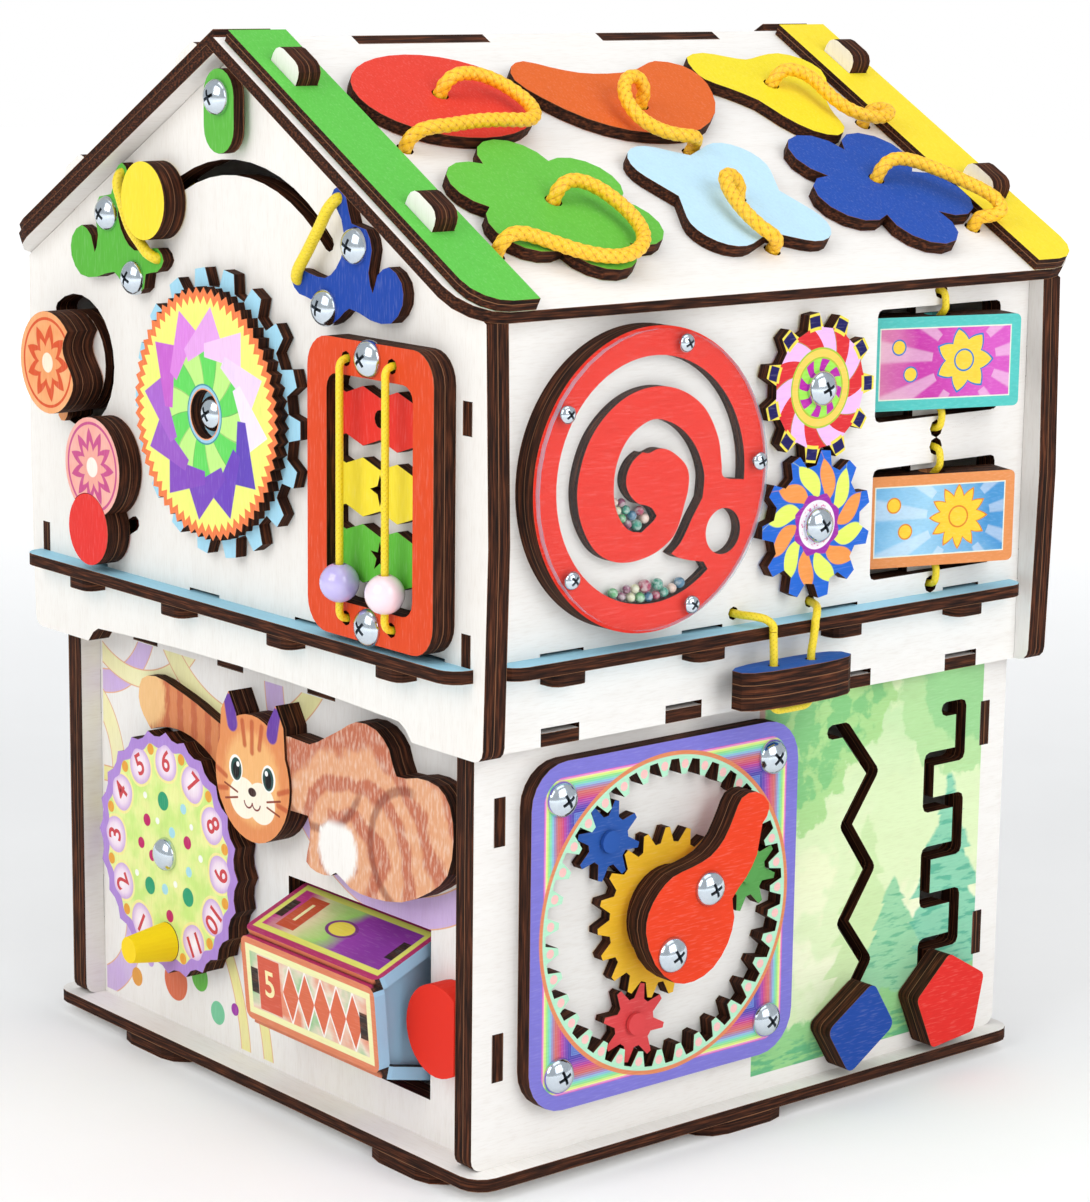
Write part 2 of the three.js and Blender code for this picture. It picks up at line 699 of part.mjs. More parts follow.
function routeCut(frame, route, width, from, to) {
  const runs = [];
  for (let i = 1; i < route.length; i += 1) {
    runs.push(slab(frame, capsule(route[i - 1], route[i], width / 2), from, to));
  }
  return join(...runs);
}

function lowerRightWall() {
  const carrierPocket = rod(lowRightFrame, sunPlace, carrierRadius + running, -sheet - running, overrun, 48);
  const axleHole = rod(lowRightFrame, sunPlace, facePinRadius + running, -doubleWall - overrun, overrun);
  return cut(
    lowerSideWall(lowRightFrame),
    carrierPocket,
    axleHole,
    routeCut(lowRightFrame, zigzagRoute, slotWidth, -doubleWall - overrun, overrun),
    routeCut(lowRightFrame, squareRoute, slotWidth, -doubleWall - overrun, overrun),
  );
}

function lowerEndWall(frame) {
  const half = sideInner - fit / 2;
  const pieces = [slab(frame, box(-half, baseTop, half, lowerFrontTop), -doubleWall, 0)];
  for (const z of wallTabPlaces) {
    const reach = lowerSideFace;
    pieces.push(slab(frame, box(-reach, z - wallTabHeight / 2, reach, z + wallTabHeight / 2), -sheet, 0));
  }
  const slots = floorFrontTabPlaces.map((x) =>
    slab(
      frame,
      box(
        x - floorTabWidth / 2 - fit,
        lowerTop - fit,
        x + floorTabWidth / 2 + fit,
        lowerTop + sheet + fit,
      ),
      -doubleWall - overrun,
      overrun,
    ),
  );
  return cut(join(...pieces), ...slots);
}

function lowerFrontWall() {
  const w = drumWindowWidth / 2;
  const h = drumWindowHeight / 2;
  const [x, z] = drumPlace;
  const window = box(x - w, z - h, x + w, z + h);
  const axleFrame = frameOf([0, 1, 0], [0, 0, 1], [1, 0, 0], [0, -drumAxisReach, z]);
  const axle = rod(axleFrame, [0, 0], drumAxleRadius, x - w - sheet, x + w + sheet, 12);
  const cap = rod(frontFrame, redCapPlace, redCapRadius, -sheet / 2, doubleWall, 32);
  const trim = slab(
    frontFrame,
    box(sideInner - fit, 0, sideInner + redCapRadius, lowerTop),
    -overrun,
    doubleWall + overrun,
  );
  return join(
    cut(lowerEndWall(frontFrame), slab(frontFrame, window, -doubleWall - overrun, overrun)),
    axle,
    cut(cap, trim),
    screw(frontFrame, dialPlace, -sheet, doubleWall + 2 * running),
  );
}

// Floor between the storeys
function midFloor() {
  const inX = upperSideFace - doubleWall - fit / 2;
  const inY = lowerFrontFace - doubleWall - fit / 2;
  const outX = upperSideFace;
  const outY = lowerFrontFace;
  const t = floorTabWidth / 2;
  const pieces = [slab(level, box(-inX, -inY, inX, inY), lowerTop, lowerTop + sheet)];
  for (const y of floorSideTabPlaces) {
    pieces.push(slab(level, box(-outX, y - t, outX, y + t), lowerTop, lowerTop + sheet));
  }
  for (const x of floorFrontTabPlaces) {
    pieces.push(slab(level, box(x - t, -outY, x + t, outY), lowerTop, lowerTop + sheet));
  }
  return join(...pieces);
}

// Gables
const roofUnder = ridgeHeight - sheet / slopeCos - fit;

function underRoof(x) {
  return roofUnder - (Math.abs(x) * slopeSin) / slopeCos;
}

function gableOutline() {
  const r = gableCornerRadius;
  const halfSide = [
    [gableArchOuter, gableArchLow],
    [(gableArchOuter + gableLugInner) / 2, (gableArchLow * 2 + lowerTop) / 3],
    [gableLugInner, lowerTop],
    ...arcPoints(gableHalfLow - r, lowerTop + r, r, 270, 360, 3),
    [(gableHalfLow + gableHalfMiddle * 2) / 3, (lowerTop + gableMiddleHeight * 2) / 3],
    [gableHalfMiddle, gableMiddleHeight],
    [gableHalfLow, underRoof(gableHalfLow)],
  ];
  const arch = [];
  const archShares = [-0.66, -0.33, 0, 0.33, 0.66];
  for (const share of archShares) {
    const rise = gableArchMiddle - (gableArchMiddle - gableArchLow) * share * share;
    arch.push([share * gableArchOuter, rise]);
  }
  return [...arch, ...halfSide, [0, roofUnder], ...mirrored(halfSide)];
}

function gable(frame) {
  const pieces = [slab(frame, gableOutline(), -doubleWall, 0)];
  const foot = -sheet * 2;
  const top = sheet + gableLugRise;
  for (const side of [-1, 1]) {
    for (const s of gableLugPlaces) {
      const lug = [
        [s - gableLugLength / 2, foot],
        [s + gableLugLength / 2, foot],
        ...arcPoints(s + gableLugLength / 2 - gableLugRadius, top - gableLugRadius, gableLugRadius, 0, 90, 3),
        ...arcPoints(s - gableLugLength / 2 + gableLugRadius, top - gableLugRadius, gableLugRadius, 90, 180, 3),
      ];
      const placed = lug.map(([d, n]) => [
        side * (d * slopeCos + n * slopeSin),
        ridgeHeight - d * slopeSin + n * slopeCos,
      ]);
      pieces.push(slab(frame, side > 0 ? placed : placed.reverse(), -doubleWall, 0));
    }
  }
  const slots = [];
  const tenon = sheet + 2 * fit;
  for (const side of [-1, 1]) {
    for (const z of sideTenonPlaces) {
      const x = side * (upperSideFace - sheet / 2);
      const slot = box(x - tenon / 2, z - sideTenonHeight / 2 - fit, x + tenon / 2, z + sideTenonHeight / 2 + fit);
      slots.push(slab(frame, slot, -doubleWall - overrun, overrun));
    }
  }
  return cut(join(...pieces), ...slots);
}

function arcCut(frame, centre, radius, from, to, width, steps) {
  const points = [
    ...arcPoints(centre[0], centre[1], radius + width / 2, from, to, steps),
    ...arcPoints(...polar(centre[0], centre[1], radius, to), width / 2, to, to + 180, 4).slice(1, -1),
    ...arcPoints(centre[0], centre[1], radius - width / 2, to, from, steps),
    ...arcPoints(...polar(centre[0], centre[1], radius, from), width / 2, from + 180, from + 360, 4).slice(1, -1),
  ];
  return slab(frame, points, -doubleWall - overrun, overrun);
}

const arcCentre = [0, arcCentreHeight];

function shelfSlots(frame, places) {
  return places.map((at) =>
    slab(
      frame,
      box(
        at - shelfTabWidth / 2 - fit,
        shelfTop - sheet - fit,
        at + shelfTabWidth / 2 + fit,
        shelfTop + shelfSlotSpare,
      ),
      -doubleWall - overrun,
      overrun,
    ),
  );
}

function frontGable() {
  const through = -doubleWall - overrun;
  const holes = [
    arcCut(gableFrame, arcCentre, arcRadius, 90 - arcHalfAngle, 90 + arcHalfAngle, arcSlotWidth, 14),
    arcCut(
      gableFrame,
      orangePlace,
      orangeSlotRadius,
      -orangeSlotHalfAngle,
      orangeSlotHalfAngle,
      orangeSlotWidth,
      18,
    ),
    arcCut(
      gableFrame,
      pinkPlace,
      pinkSlotRadius,
      pinkKnobAngle - pinkSlotReach,
      pinkKnobAngle + pinkSlotReach,
      arcSlotWidth,
      7,
    ),
    rod(gableFrame, orangePlace, facePinRadius + running, through, overrun),
    rod(gableFrame, pinkPlace, facePinRadius + running, through, overrun),
    ...shelfSlots(gableFrame, frontShelfTabPlaces),
  ];
  for (const x of beadStringPlaces) {
    for (const side of [-1, 1]) {
      const at = [x, beadFramePlace[1] + side * beadStringHoleReach];
      holes.push(rod(gableFrame, at, beadHoleRadius, through, overrun, 8));
    }
  }
  return join(
    cut(gable(gableFrame), ...holes),
    rod(gableFrame, [0, tagPivotHeight], washerRadius, -sheet, washer + running),
    screw(gableFrame, [0, tagPivotHeight], -sheet, washer + sheet + 3 * running),
    screw(gableFrame, gearPlace, -sheet, sheet + 2 * running),
  );
}

// Upper side walls
function upperSideWall(frame) {
  const half = gableFace - doubleWall - fit / 2;
  const top = underRoof(upperSideFace) - fit;
  const pieces = [slab(frame, box(-half, lowerTop, half, top), -doubleWall, 0)];
  const notches = floorSideTabPlaces.map((at) => {
    const y = frame === leftFrame ? -at : at;
    const w = floorTabWidth / 2 + fit;
    return slab(
      frame,
      box(y - w, lowerTop - overrun, y + w, lowerTop + sheet + floorNotchSpare),
      -doubleWall - overrun,
      overrun,
    );
  });
  for (const z of sideTenonPlaces) {
    const tenon = box(-gableFace, z - sideTenonHeight / 2, gableFace, z + sideTenonHeight / 2);
    pieces.push(slab(frame, tenon, -sheet, 0));
  }
  return cut(join(...pieces), ...notches);
}

function flipWindow(z) {
  const w = flipWindowWidth / 2;
  const h = flipWindowHeight / 2;
  const opening = slab(
    rightFrame,
    roundedBox(flipPlace, z, 2 * w, 2 * h, sheet / 2, 2),
    -doubleWall - overrun,
    overrun,
  );
  const tongues = [-1, 1].map((side) => {
    const edge = z + side * h;
    const t = flipTongueWidth / 2;
    const low = Math.min(edge + side * overrun, edge - side * flipTongueDepth);
    const high = Math.max(edge + side * overrun, edge - side * flipTongueDepth);
    return slab(
      rightFrame,
      box(flipPlace - t, low, flipPlace + t, high),
      -doubleWall - 2 * overrun,
      -sheet,
    );
  });
  return cut(opening, ...tongues);
}

function upperRightWall() {
  const through = -doubleWall - overrun;
  const holes = [
    ...flipWindowPlaces.map(flipWindow),
    ...flipCordHoleHeights.map((z) =>
      rod(rightFrame, [flipPlace, z], flipCordHoleRadius, through, overrun, 8),
    ),
    ...swingHolePlaces.map((place) => rod(rightFrame, place, swingHoleRadius, through, overrun, 8)),
    ...shelfSlots(rightFrame, rightShelfTabPlaces),
  ];
  const pivots = pairGearPlaces.map((place) => screw(rightFrame, place, -sheet, sheet + 3 * running));
  return join(cut(upperSideWall(rightFrame), ...holes), ...pivots);
}

// Roof panels meet in fingers: each is trimmed to the other's upper plane, then to its fingers.
const slopeLength = eaveReach / slopeCos;
const ridgeOverlap = 3 * sheet;

function roofPlate(frame) {
  const r = roofCornerRadius;
  const end = roofHalfDepth;
  const plan = [
    [-end, ridgeOverlap],
    ...arcPoints(-end + r, -slopeLength + r, r, 180, 270, 4),
    ...arcPoints(end - r, -slopeLength + r, r, 270, 360, 4),
    [end, ridgeOverlap],
  ];
  const lugSlots = [];
  for (const side of [-1, 1]) {
    for (const s of gableLugPlaces) {
      const middle = side * (gableFace - sheet);
      const reach = gableLugLength / 2 + fit;
      const halfWall = sheet + fit;
      lugSlots.push(
        slab(frame, box(middle - halfWall, -s - reach, middle + halfWall, -s + reach), -ridgeOverlap, ridgeOverlap),
      );
    }
  }
  return { plate: slab(frame, plan, -sheet, 0), lugSlots };
}

function beyondPlane(frame) {
  const half = roofHalfDepth + overrun;
  return slab(frame, box(-half, -slopeLength, half, slopeLength), 0, slopeLength);
}

function ridgeZone(frame, places, width) {
  const half = roofHalfDepth + overrun;
  const spans = places ?? [0];
  return join(
    ...spans.map((y) => {
      const w = places ? width / 2 : half;
      return slab(frame, box(y - w, -ridgeOverlap, y + w, ridgeOverlap), -sheet - fit, overrun);
    }),
  );
}

function rightRoofPanel() {
  const { plate, lugSlots } = roofPlate(roofFrame);
  const fingers = ridgeZone(farRoofFrame, fingerPlaces, fingerWidth + 2 * fit);
  const ropeHoles = ropeRoutes.map((route) => {
    const [y, s] = route[route.length - 1];
    return rod(roofFrame, [y, -s], ropeHoleRadius, -ridgeOverlap, ridgeOverlap, 10);
  });
  return cut(plate, beyondPlane(farRoofFrame), fingers, ...lugSlots, ...ropeHoles);
}

function stripPlan(side) {
  const r = stripCornerRadius;
  const outer = side * stripOuter;
  const inner = side * (stripOuter - stripWidth);
  const corner = arcPoints(outer - side * r, -slopeLength + r, r, side > 0 ? 360 : 180, 270, 4);
  return [[outer, -stripTop], ...corner, [inner, -slopeLength], [inner, -stripTop]];
}

function roofStrip(frame, side, from) {
  const { lugSlots } = roofPlate(frame);
  return cut(slab(frame, stripPlan(side), from, sheet), ...lugSlots);
}

function leftRoofPanel() {
  const { plate, lugSlots } = roofPlate(farRoofFrame);
  const kept = cut(ridgeZone(roofFrame, null), ridgeZone(roofFrame, fingerPlaces, fingerWidth));
  const roots = [-1, 1].map((side) => slab(farRoofFrame, stripPlan(side), -sheet / 2, fit));
  const strips = [-1, 1].map((side) => slab(farRoofFrame, stripPlan(side), fit / 2, sheet));
  return cut(join(cut(join(plate, ...roots), beyondPlane(roofFrame), kept), ...strips), ...lugSlots);
}

// Six loose shapes on ropes
const ropeRoutes = [ovalRopeRoute, beanRopeRoute, knuckleRopeRoute, cloudRopeRoute, crossRopeRoute, starRopeRoute];

function down(points) {
  return points.map(([y, s]) => [y, -s]);
}

// Lobes round a middle: neighbours meet where their circles cross, or in a waist between them.
function lobed(place, reach, radius, count, turn, waist = 0) {
  const [x, y] = down([place])[0];
  const half = Math.PI / count;
  const across = reach * Math.sin(half);
  const meet = waist || reach * Math.cos(half) + Math.sqrt(radius * radius - across * across);
  const away = [meet * Math.cos(half) - reach, meet * Math.sin(half)];
  const gap = Math.hypot(...away);
  const open = Math.atan2(away[1], away[0]) / degrees - Math.acos(Math.min(1, radius / gap)) / degrees;
  const points = [];
  for (let i = 0; i < count; i += 1) {
    const angle = turn + (360 * i) / count;
    points.push(...arcPoints(...polar(x, y, reach, angle), radius, angle - open, angle + open, 8));
    if (waist) {
      points.push(polar(x, y, waist, angle + 180 / count));
    } else {
      points.pop();
    }
  }
  return slab(roofFrame, points, fit, sheet + fit);
}

function shapeHole(route) {
  return rod(roofFrame, [route[0][0], -route[0][1]], ropeHoleRadius, -overrun, sheet + overrun, 10);
}

function outlined(shares, place, width, height, route) {
  const outline = smooth(shares, [place[0], -place[1]], width, height);
  return cut(slab(roofFrame, outline, fit, sheet + fit), shapeHole(route));
}

function ovalShape() {
  const plan = [];
  const steps = 32;
  for (let i = 0; i < steps; i += 1) {
    const angle = (360 * i * degrees) / steps;
    plan.push([
      ovalPlace[0] + (ovalLength / 2) * Math.cos(angle),
      -ovalPlace[1] + (ovalHeight / 2) * Math.sin(angle),
    ]);
  }
  return cut(slab(roofFrame, plan, fit, sheet + fit), shapeHole(ovalRopeRoute));
}

function cloudShape() {
  const body = lobed(cloudPlace, cloudLobePlace, cloudLobeRadius, cloudLobes, 90);
  return cut(body, shapeHole(cloudRopeRoute));
}

function crossShape() {
  const body = lobed(crossPlace, crossLobePlace, crossLobeRadius, 4, 45, crossWaist);
  return cut(body, shapeHole(crossRopeRoute));
}

function starShape() {
  const body = lobed(starPlace, starLobePlace, starLobeRadius, starLobes, 270);
  return cut(body, shapeHole(starRopeRoute));
}

// The tail below the roof is what a lifted shape draws out of its hole.
function rope(route) {
  const [y, s] = route[route.length - 1];
  const tail = [-sheet, -2 * sheet - shapeLift].map((depth) => [y, -s, depth]);
  const laid = [...down(route).map((p, i) => [...p, route[i][2]]), ...tail];
  return tube(along(roofFrame, laid), ropeRadius, ropeSteps, ropeSides);
}

// Shelves with the brackets under them
function bracket(frame, at) {
  const r = bracketReach / 2;
  const plan = [
    [at - bracketWidth / 2, 0],
    [at + bracketWidth / 2, 0],
    ...arcPoints(at + bracketWidth / 2 - r, bracketReach - r, r, 0, 90, 3),
    ...arcPoints(at - bracketWidth / 2 + r, bracketReach - r, r, 90, 180, 3),
  ];
  return slab(frame, plan, 0, sheet);
}

function shelf(frame, ends, reach, brackets, tabs) {
  const r = shelfEndRadius;
  const plan = [
    [ends[0], 0],
    [ends[1], 0],
    ...arcPoints(ends[1] - r, reach - r, r, 0, 90, 4),
    ...arcPoints(ends[0] + r, reach - r, r, 90, 180, 4),
  ];
  const pieces = [slab(frame, plan, sheet, 2 * sheet)];
  for (const at of tabs) {
    const w = shelfTabWidth / 2;
    pieces.push(slab(frame, box(at - w, -doubleWall, at + w, sheet), sheet, 2 * sheet));
  }
  for (const at of brackets) {
    pieces.push(bracket(frame, at));
  }
  return join(...pieces);
}

const shelfFoot = shelfTop - 2 * sheet;
const frontShelfFrame = frameOf([-1, 0, 0], [0, -1, 0], [0, 0, 1], [0, -gableFace, shelfFoot]);
const rightShelfFrame = frameOf([0, -1, 0], [1, 0, 0], [0, 0, 1], [upperSideFace, 0, shelfFoot]);

function frontShelf() {
  const ends = [-frontShelfHalfWidth, frontShelfHalfWidth];
  const turnedBack = (places) => places.map((x) => -x);
  return shelf(
    frontShelfFrame,
    ends,
    frontShelfReach,
    turnedBack(frontBracketPlaces),
    turnedBack(frontShelfTabPlaces),
  );
}

function rightShelf() {
  const turnedBack = (places) => places.map((y) => -y);
  return shelf(
    rightShelfFrame,
    turnedBack(rightShelfEnds).reverse(),
    rightShelfReach,
    turnedBack(rightBracketPlaces),
    turnedBack(rightShelfTabPlaces),
  );
}

// Gable front
function apexTag() {
  const from = washer + 2 * running;
  const r = tagWidth / 2;
  const plan = capsule([0, tagPivotHeight + tagAbove - r], [0, tagPivotHeight - tagBelow + r], r, 10);
  const bore = rod(gableFrame, [0, tagPivotHeight], boreRadius, 0, washer + doubleWall, 12);
  return cut(slab(gableFrame, plan, from, from + sheet), bore);
}

function slidingKnob(frame, place, radius, back, front, sides) {
  return join(
    rod(frame, place, radius, back, front, sides),
    rod(frame, place, pegRadius, -doubleWall - 2 * running, back, 12),
    rod(frame, place, innerDiscRadius, -doubleWall - running - sheet / 2, -doubleWall - running, 20),
  );
}

function yellowKnob() {
  const place = polar(...arcCentre, arcRadius, 90 + arcKnobAngle);
  return slidingKnob(gableFrame, place, arcKnobRadius, running, running + doubleWall, 40);
}

function bumper(side, crestPlaces) {
  const outline = smooth(bumperOutlineShares, bumperPlace, bumperWidth, bumperHeight);
  const flip = (points) => points.map(([x, y]) => [side * x, y]);
  const placed = side > 0 ? outline : mirrored(outline);
  const crest = sheet + elasticRadius + fit;
  const [top, bottom] = flip(bumperHolePlaces);
  const screws = flip(bumperScrewPlaces).map((place) => dome(gableFrame, place, sheet));
  const cord = [
    [...top, sheet / 2],
    [...top, sheet + fit],
    ...crestPlaces.map((p) => [...p, crest]),
    [...bottom, sheet + fit],
    [...bottom, sheet / 2],
  ];
  const bow = tube(along(gableFrame, cord), elasticRadius, 16, 8);
  return join(slab(gableFrame, placed, 0, sheet), ...screws, bow);
}

function between(a, b, share) {
  return [a[0] + (b[0] - a[0]) * share, a[1] + (b[1] - a[1]) * share];
}

const blueCord = elasticShares.map((share) => between(bumperHolePlaces[0], bumperHolePlaces[1], share));

function orangeFace() {
  const [x, z] = orangePlace;
  const wave = [];
  const steps = 12;
  const rim = polar(0, 0, orangeRadius, orangeWaveAngle);
  for (let i = 1; i < steps; i += 1) {
    const share = (2 * i) / steps - 1;
    wave.push([x + rim[0] - orangeWaveDepth * Math.sin(Math.PI * share), z + rim[1] * share]);
  }
  const plan = [...arcPoints(x, z, orangeRadius, orangeWaveAngle, 360 - orangeWaveAngle, 30), ...wave];
  const peg = polar(x, z, orangeSlotRadius, orangePegAngle);
  const back = running;
  return join(
    slab(gableFrame, plan, back, back + orangeThickness),
    slab(gableFrame, capsule([x, z], peg, orangeEarRadius), back, back + sheet / 2),
    rod(gableFrame, peg, pegRadius, -doubleWall, back, 12),
    rod(gableFrame, orangePlace, facePinRadius, -doubleWall - 2 * running, back),
    rod(gableFrame, orangePlace, innerDiscRadius, -doubleWall - running - sheet / 2, -doubleWall - running),
  );
}

const redKnobPlace = polar(...pinkPlace, pinkSlotRadius, pinkKnobAngle);

function pinkFace() {
  const back = running;
  const front = back + faceKnobThickness;
  const face = rod(gableFrame, pinkPlace, pinkRadius, back, front, 40);
  const bite = rod(gableFrame, redKnobPlace, redKnobRadius + fit, -overrun, doubleWall + overrun, 32);
  const link = capsule(pinkPlace, redKnobPlace, innerDiscRadius);
  return join(
    cut(face, bite),
    rod(gableFrame, redKnobPlace, redKnobRadius, back, front, 32),
    rod(gableFrame, redKnobPlace, pegRadius, -doubleWall - running, back + fit, 12),
    rod(gableFrame, pinkPlace, facePinRadius, -doubleWall - 2 * running, back + fit),
    slab(gableFrame, link, -doubleWall - running - sheet / 2, -doubleWall - running),
  );
}

function zigzag(place, teeth, tip, valley) {
  const points = [];
  for (let i = 0; i < teeth; i += 1) {
    points.push(polar(...place, tip, (360 * i) / teeth));
    points.push(polar(...place, valley, (360 * (i + 1 / 2)) / teeth));
  }
  return points;
}

function bigGear() {
  const half = (Math.PI * gearRearRoot) / gearRearTeeth / 2;
  const radii = [gearRearRoot, gearRearTip];
  const halves = gearToothShares.map((share) => half * share);
  const rear = toothed(gearPlace, gearRearTeeth, radii, halves, 0);
  const front = zigzag(gearPlace, gearFrontTeeth, gearFrontTip, gearFrontRoot);
  const eye = circle(...gearPlace, gearEyeRadius, 24);
  return join(
    slab(gableFrame, rear, running, running + sheet, [circle(...gearPlace, boreRadius, 12)]),
    slab(gableFrame, front, running + sheet, running + doubleWall, [eye]),
  );
}

// Bead frame: front window, and a rear sheet with three waved bars across it
function starPoints(x, y, tip, waist, count) {
  const points = [];
  for (let i = 0; i < count; i += 1) {
    points.push(polar(x, y, tip, 90 + (360 * i) / count));
    points.push(polar(x, y, waist, 90 + (360 * (i + 1 / 2)) / count));
  }
  return points;
}

function waveBar(z) {
  const points = [];
  const steps = 12;
  const half = beadWindowWidth / 2 + sheet;
  const edge = (side) => {
    const line = [];
    for (let i = 0; i <= steps; i += 1) {
      const share = (2 * i) / steps - 1;
      const wave = waveBarWave * Math.cos(Math.PI * waveBarWaves * share);
      line.push([beadFramePlace[0] + share * half, z + side * (waveBarHeight / 2 - wave)]);
    }
    return line;
  };
  points.push(...edge(-1), ...edge(1).reverse());
  return slab(gableFrame, points, 0, sheet);
}

function beadFrame() {
  const [x, z] = beadFramePlace;
  const outline = roundedBox(x, z, beadFrameWidth, beadFrameHeight, beadFrameRadius, 6);
  const window = roundedBox(x, z, beadWindowWidth, beadWindowHeight, beadWindowRadius, 4);
  const [low, middle, high] = waveBarPlaces;
  const holes = [
    slab(gableFrame, starPoints(x, low, starHoleTip, starHoleWaist, 5), -overrun, sheet + overrun),
    slab(gableFrame, starPoints(x, middle, starHoleTip, starHoleWaist, 4), -overrun, sheet + overrun),
    rod(gableFrame, [x, high], roundHoleRadius, -overrun, sheet + overrun),
  ];
  for (const px of beadStringPlaces) {
    for (const side of [-1, 1]) {
      holes.push(rod(gableFrame, [px, z + side * beadStringHoleReach], beadHoleRadius, -overrun, 3 * sheet, 8));
    }
  }
  const screws = [-1, 1].map((side) => dome(gableFrame, [x, z + side * beadFrameScrewReach], doubleWall));
  const body = join(slab(gableFrame, outline, 0, doubleWall, [window]), ...waveBarPlaces.map(waveBar), ...screws);
  return cut(body, ...holes);
}

function beadCord() {
  const z = beadFramePlace[1];
  const front = doubleWall + beadStringGap;
  const rear = -doubleWall - beadStringGap;
  const b = beadStringBend;
  const [left, right] = beadStringPlaces;
  const low = z - beadStringHoleReach;
  const high = z + beadStringHoleReach;
  const bend = (x, hole, inward) => [
    [x, hole, rear + b * 2],
    [x, hole, 0],
    [x, hole, front - b],
    [x, hole + inward * b * cornerShare, front - b * cornerShare],
    [x, hole + inward * b, front],
    [x, hole + inward * b * 2, front],
  ];
  const route = [
    [left, low, rear - b],
    ...bend(left, low, 1),
    [left, z, front],
    ...bend(left, high, -1).reverse(),
    [left + b * cornerShare, high, rear + b * cornerShare],
    [left + b, high, rear],
    [left + b * 2, high, rear],
    [right - b * 2, high, rear],
    [right - b, high, rear],
    [right - b * cornerShare, high, rear + b * cornerShare],
    ...bend(right, high, -1),
    [right, z, front],
    ...bend(right, low, 1).reverse(),
    [right, low, rear - b],
  ];
  return tube(along(gableFrame, route), beadStringRadius, 52, 8);
}

function bead(x) {
  const profile = arcPoints(0, 0, beadRadius, -90, 90, 8).map(([r, h]) => [Math.max(r, 0), h]);
  profile[0][0] = 0;
  profile[profile.length - 1][0] = 0;
  const frame = frameOf([1, 0, 0], [0, 1, 0], [0, 0, 1], [x, -gableFace - doubleWall - beadStringGap, beadRestHeight]);
  const ball = turnedSolid(frame, [0, 0], 0, profile, 16);
  return cut(ball, rod(frame, [0, 0], beadHoleRadius, -2 * beadRadius, 2 * beadRadius, 8));
}

// Maze on the right side
function mazeArm() {
  const points = [];
  const steps = mazeArmOuterShares.length;
  const at = (share, i) => polar(...mazePlace, share * mazeRadius, mazeArmStart - 90 + mazeArmStep * i);
  for (let i = 0; i < steps; i += 1) {
    points.push(at(mazeArmOuterShares[i], i));
  }
  for (let i = steps - 1; i >= 0; i -= 1) {
    points.push(at(mazeArmInnerShares[i], i));
  }
  return slab(rightFrame, points, 0, doubleWall);
}

function mazeScrewPlaces() {
  return mazeScrewAngles.map((angle) => polar(...mazePlace, mazeScrewRadius, angle));
}

function labyrinthBoard() {
  const [y, z] = mazePlace;
  const core = rod(rightFrame, [y + mazeCorePlace[0], z + mazeCorePlace[1]], mazeCoreRadius, 0, doubleWall, 24);
  const eyePlace = [y + mazeEyePlace[0], z + mazeEyePlace[1]];
  const eye = rod(rightFrame, eyePlace, mazeEyeRadius, sheet, doubleWall + overrun, 20);
  const red = cut(
    join(ring(rightFrame, mazePlace, mazeRadius, mazeRingInner, 0, doubleWall, 40), mazeArm(), core),
    eye,
  );
  const seat = doubleWall + mazeWindowThickness;
  const screws = mazeScrewPlaces().map((place) =>
    join(
      rod(rightFrame, place, mazeShankRadius, sheet, seat + mazeScrewHeadHeight / 4, 6),
      dome(rightFrame, place, seat, mazeScrewHeadRadius, mazeScrewHeadHeight, 8),
    ),
  );
  return join(rod(rightFrame, mazePlace, mazeRadius, 0, sheet, 40), red, ...screws);
}

function labyrinthWindow() {
  const holes = mazeScrewPlaces().map(([y, z]) => circle(y, z, mazeShankRadius + fit, 6));
  const disc = circle(...mazePlace, mazeRadius - mazeWindowInset, 40);
  return slab(rightFrame, disc, doubleWall, doubleWall + mazeWindowThickness, holes);
}

// Two meshing gears on the right side
function pairGear(place, turn) {
  const outline = toothed(place, pairTeeth, pairRadii, pairHalves, turn);
  const bore = circle(...place, boreRadius, 12);
  return slab(rightFrame, outline, 2 * running, 2 * running + sheet, [bore]);
}

function pairTurns() {
  const [a, b] = pairGearPlaces;
  const towards = Math.atan2(b[1] - a[1], b[0] - a[0]) / degrees;
  const halfTooth = 180 / pairTeeth;
  return [pairTurn, 2 * towards + 180 - halfTooth - pairTurn];
}

// Two boards that turn on one upright elastic
function flipBoard(z) {
  const c = Math.cos(flipRestAngle * degrees);
  const s = Math.sin(flipRestAngle * degrees);
  const frame = frameOf([s, c, 0], [0, 0, 1], [c, -s, 0], [flipAxisReach, flipPlace, z]);
  const half = flipBoardThickness / 2;
  const outline = roundedBox(0, 0, flipBoardWidth, flipBoardHeight, flipBoardCorner, 4);
  const upright = frameOf([1, 0, 0], [0, 1, 0], [0, 0, 1], [flipAxisReach, flipPlace, z]);
  const top = flipBoardHeight / 2;
  const r = flipCordRadius + fit;
  const bore = [
    [0, -top - fit],
    [r + flipFlare, -top - fit],
    [r, -top + 2 * flipFlare],
    [r, top - 2 * flipFlare],
    [r + flipFlare, top + fit],
    [0, top + fit],
  ];
  return cut(slab(frame, outline, -half, half), turnedSolid(upright, [0, 0], 0, bore, 16));
}

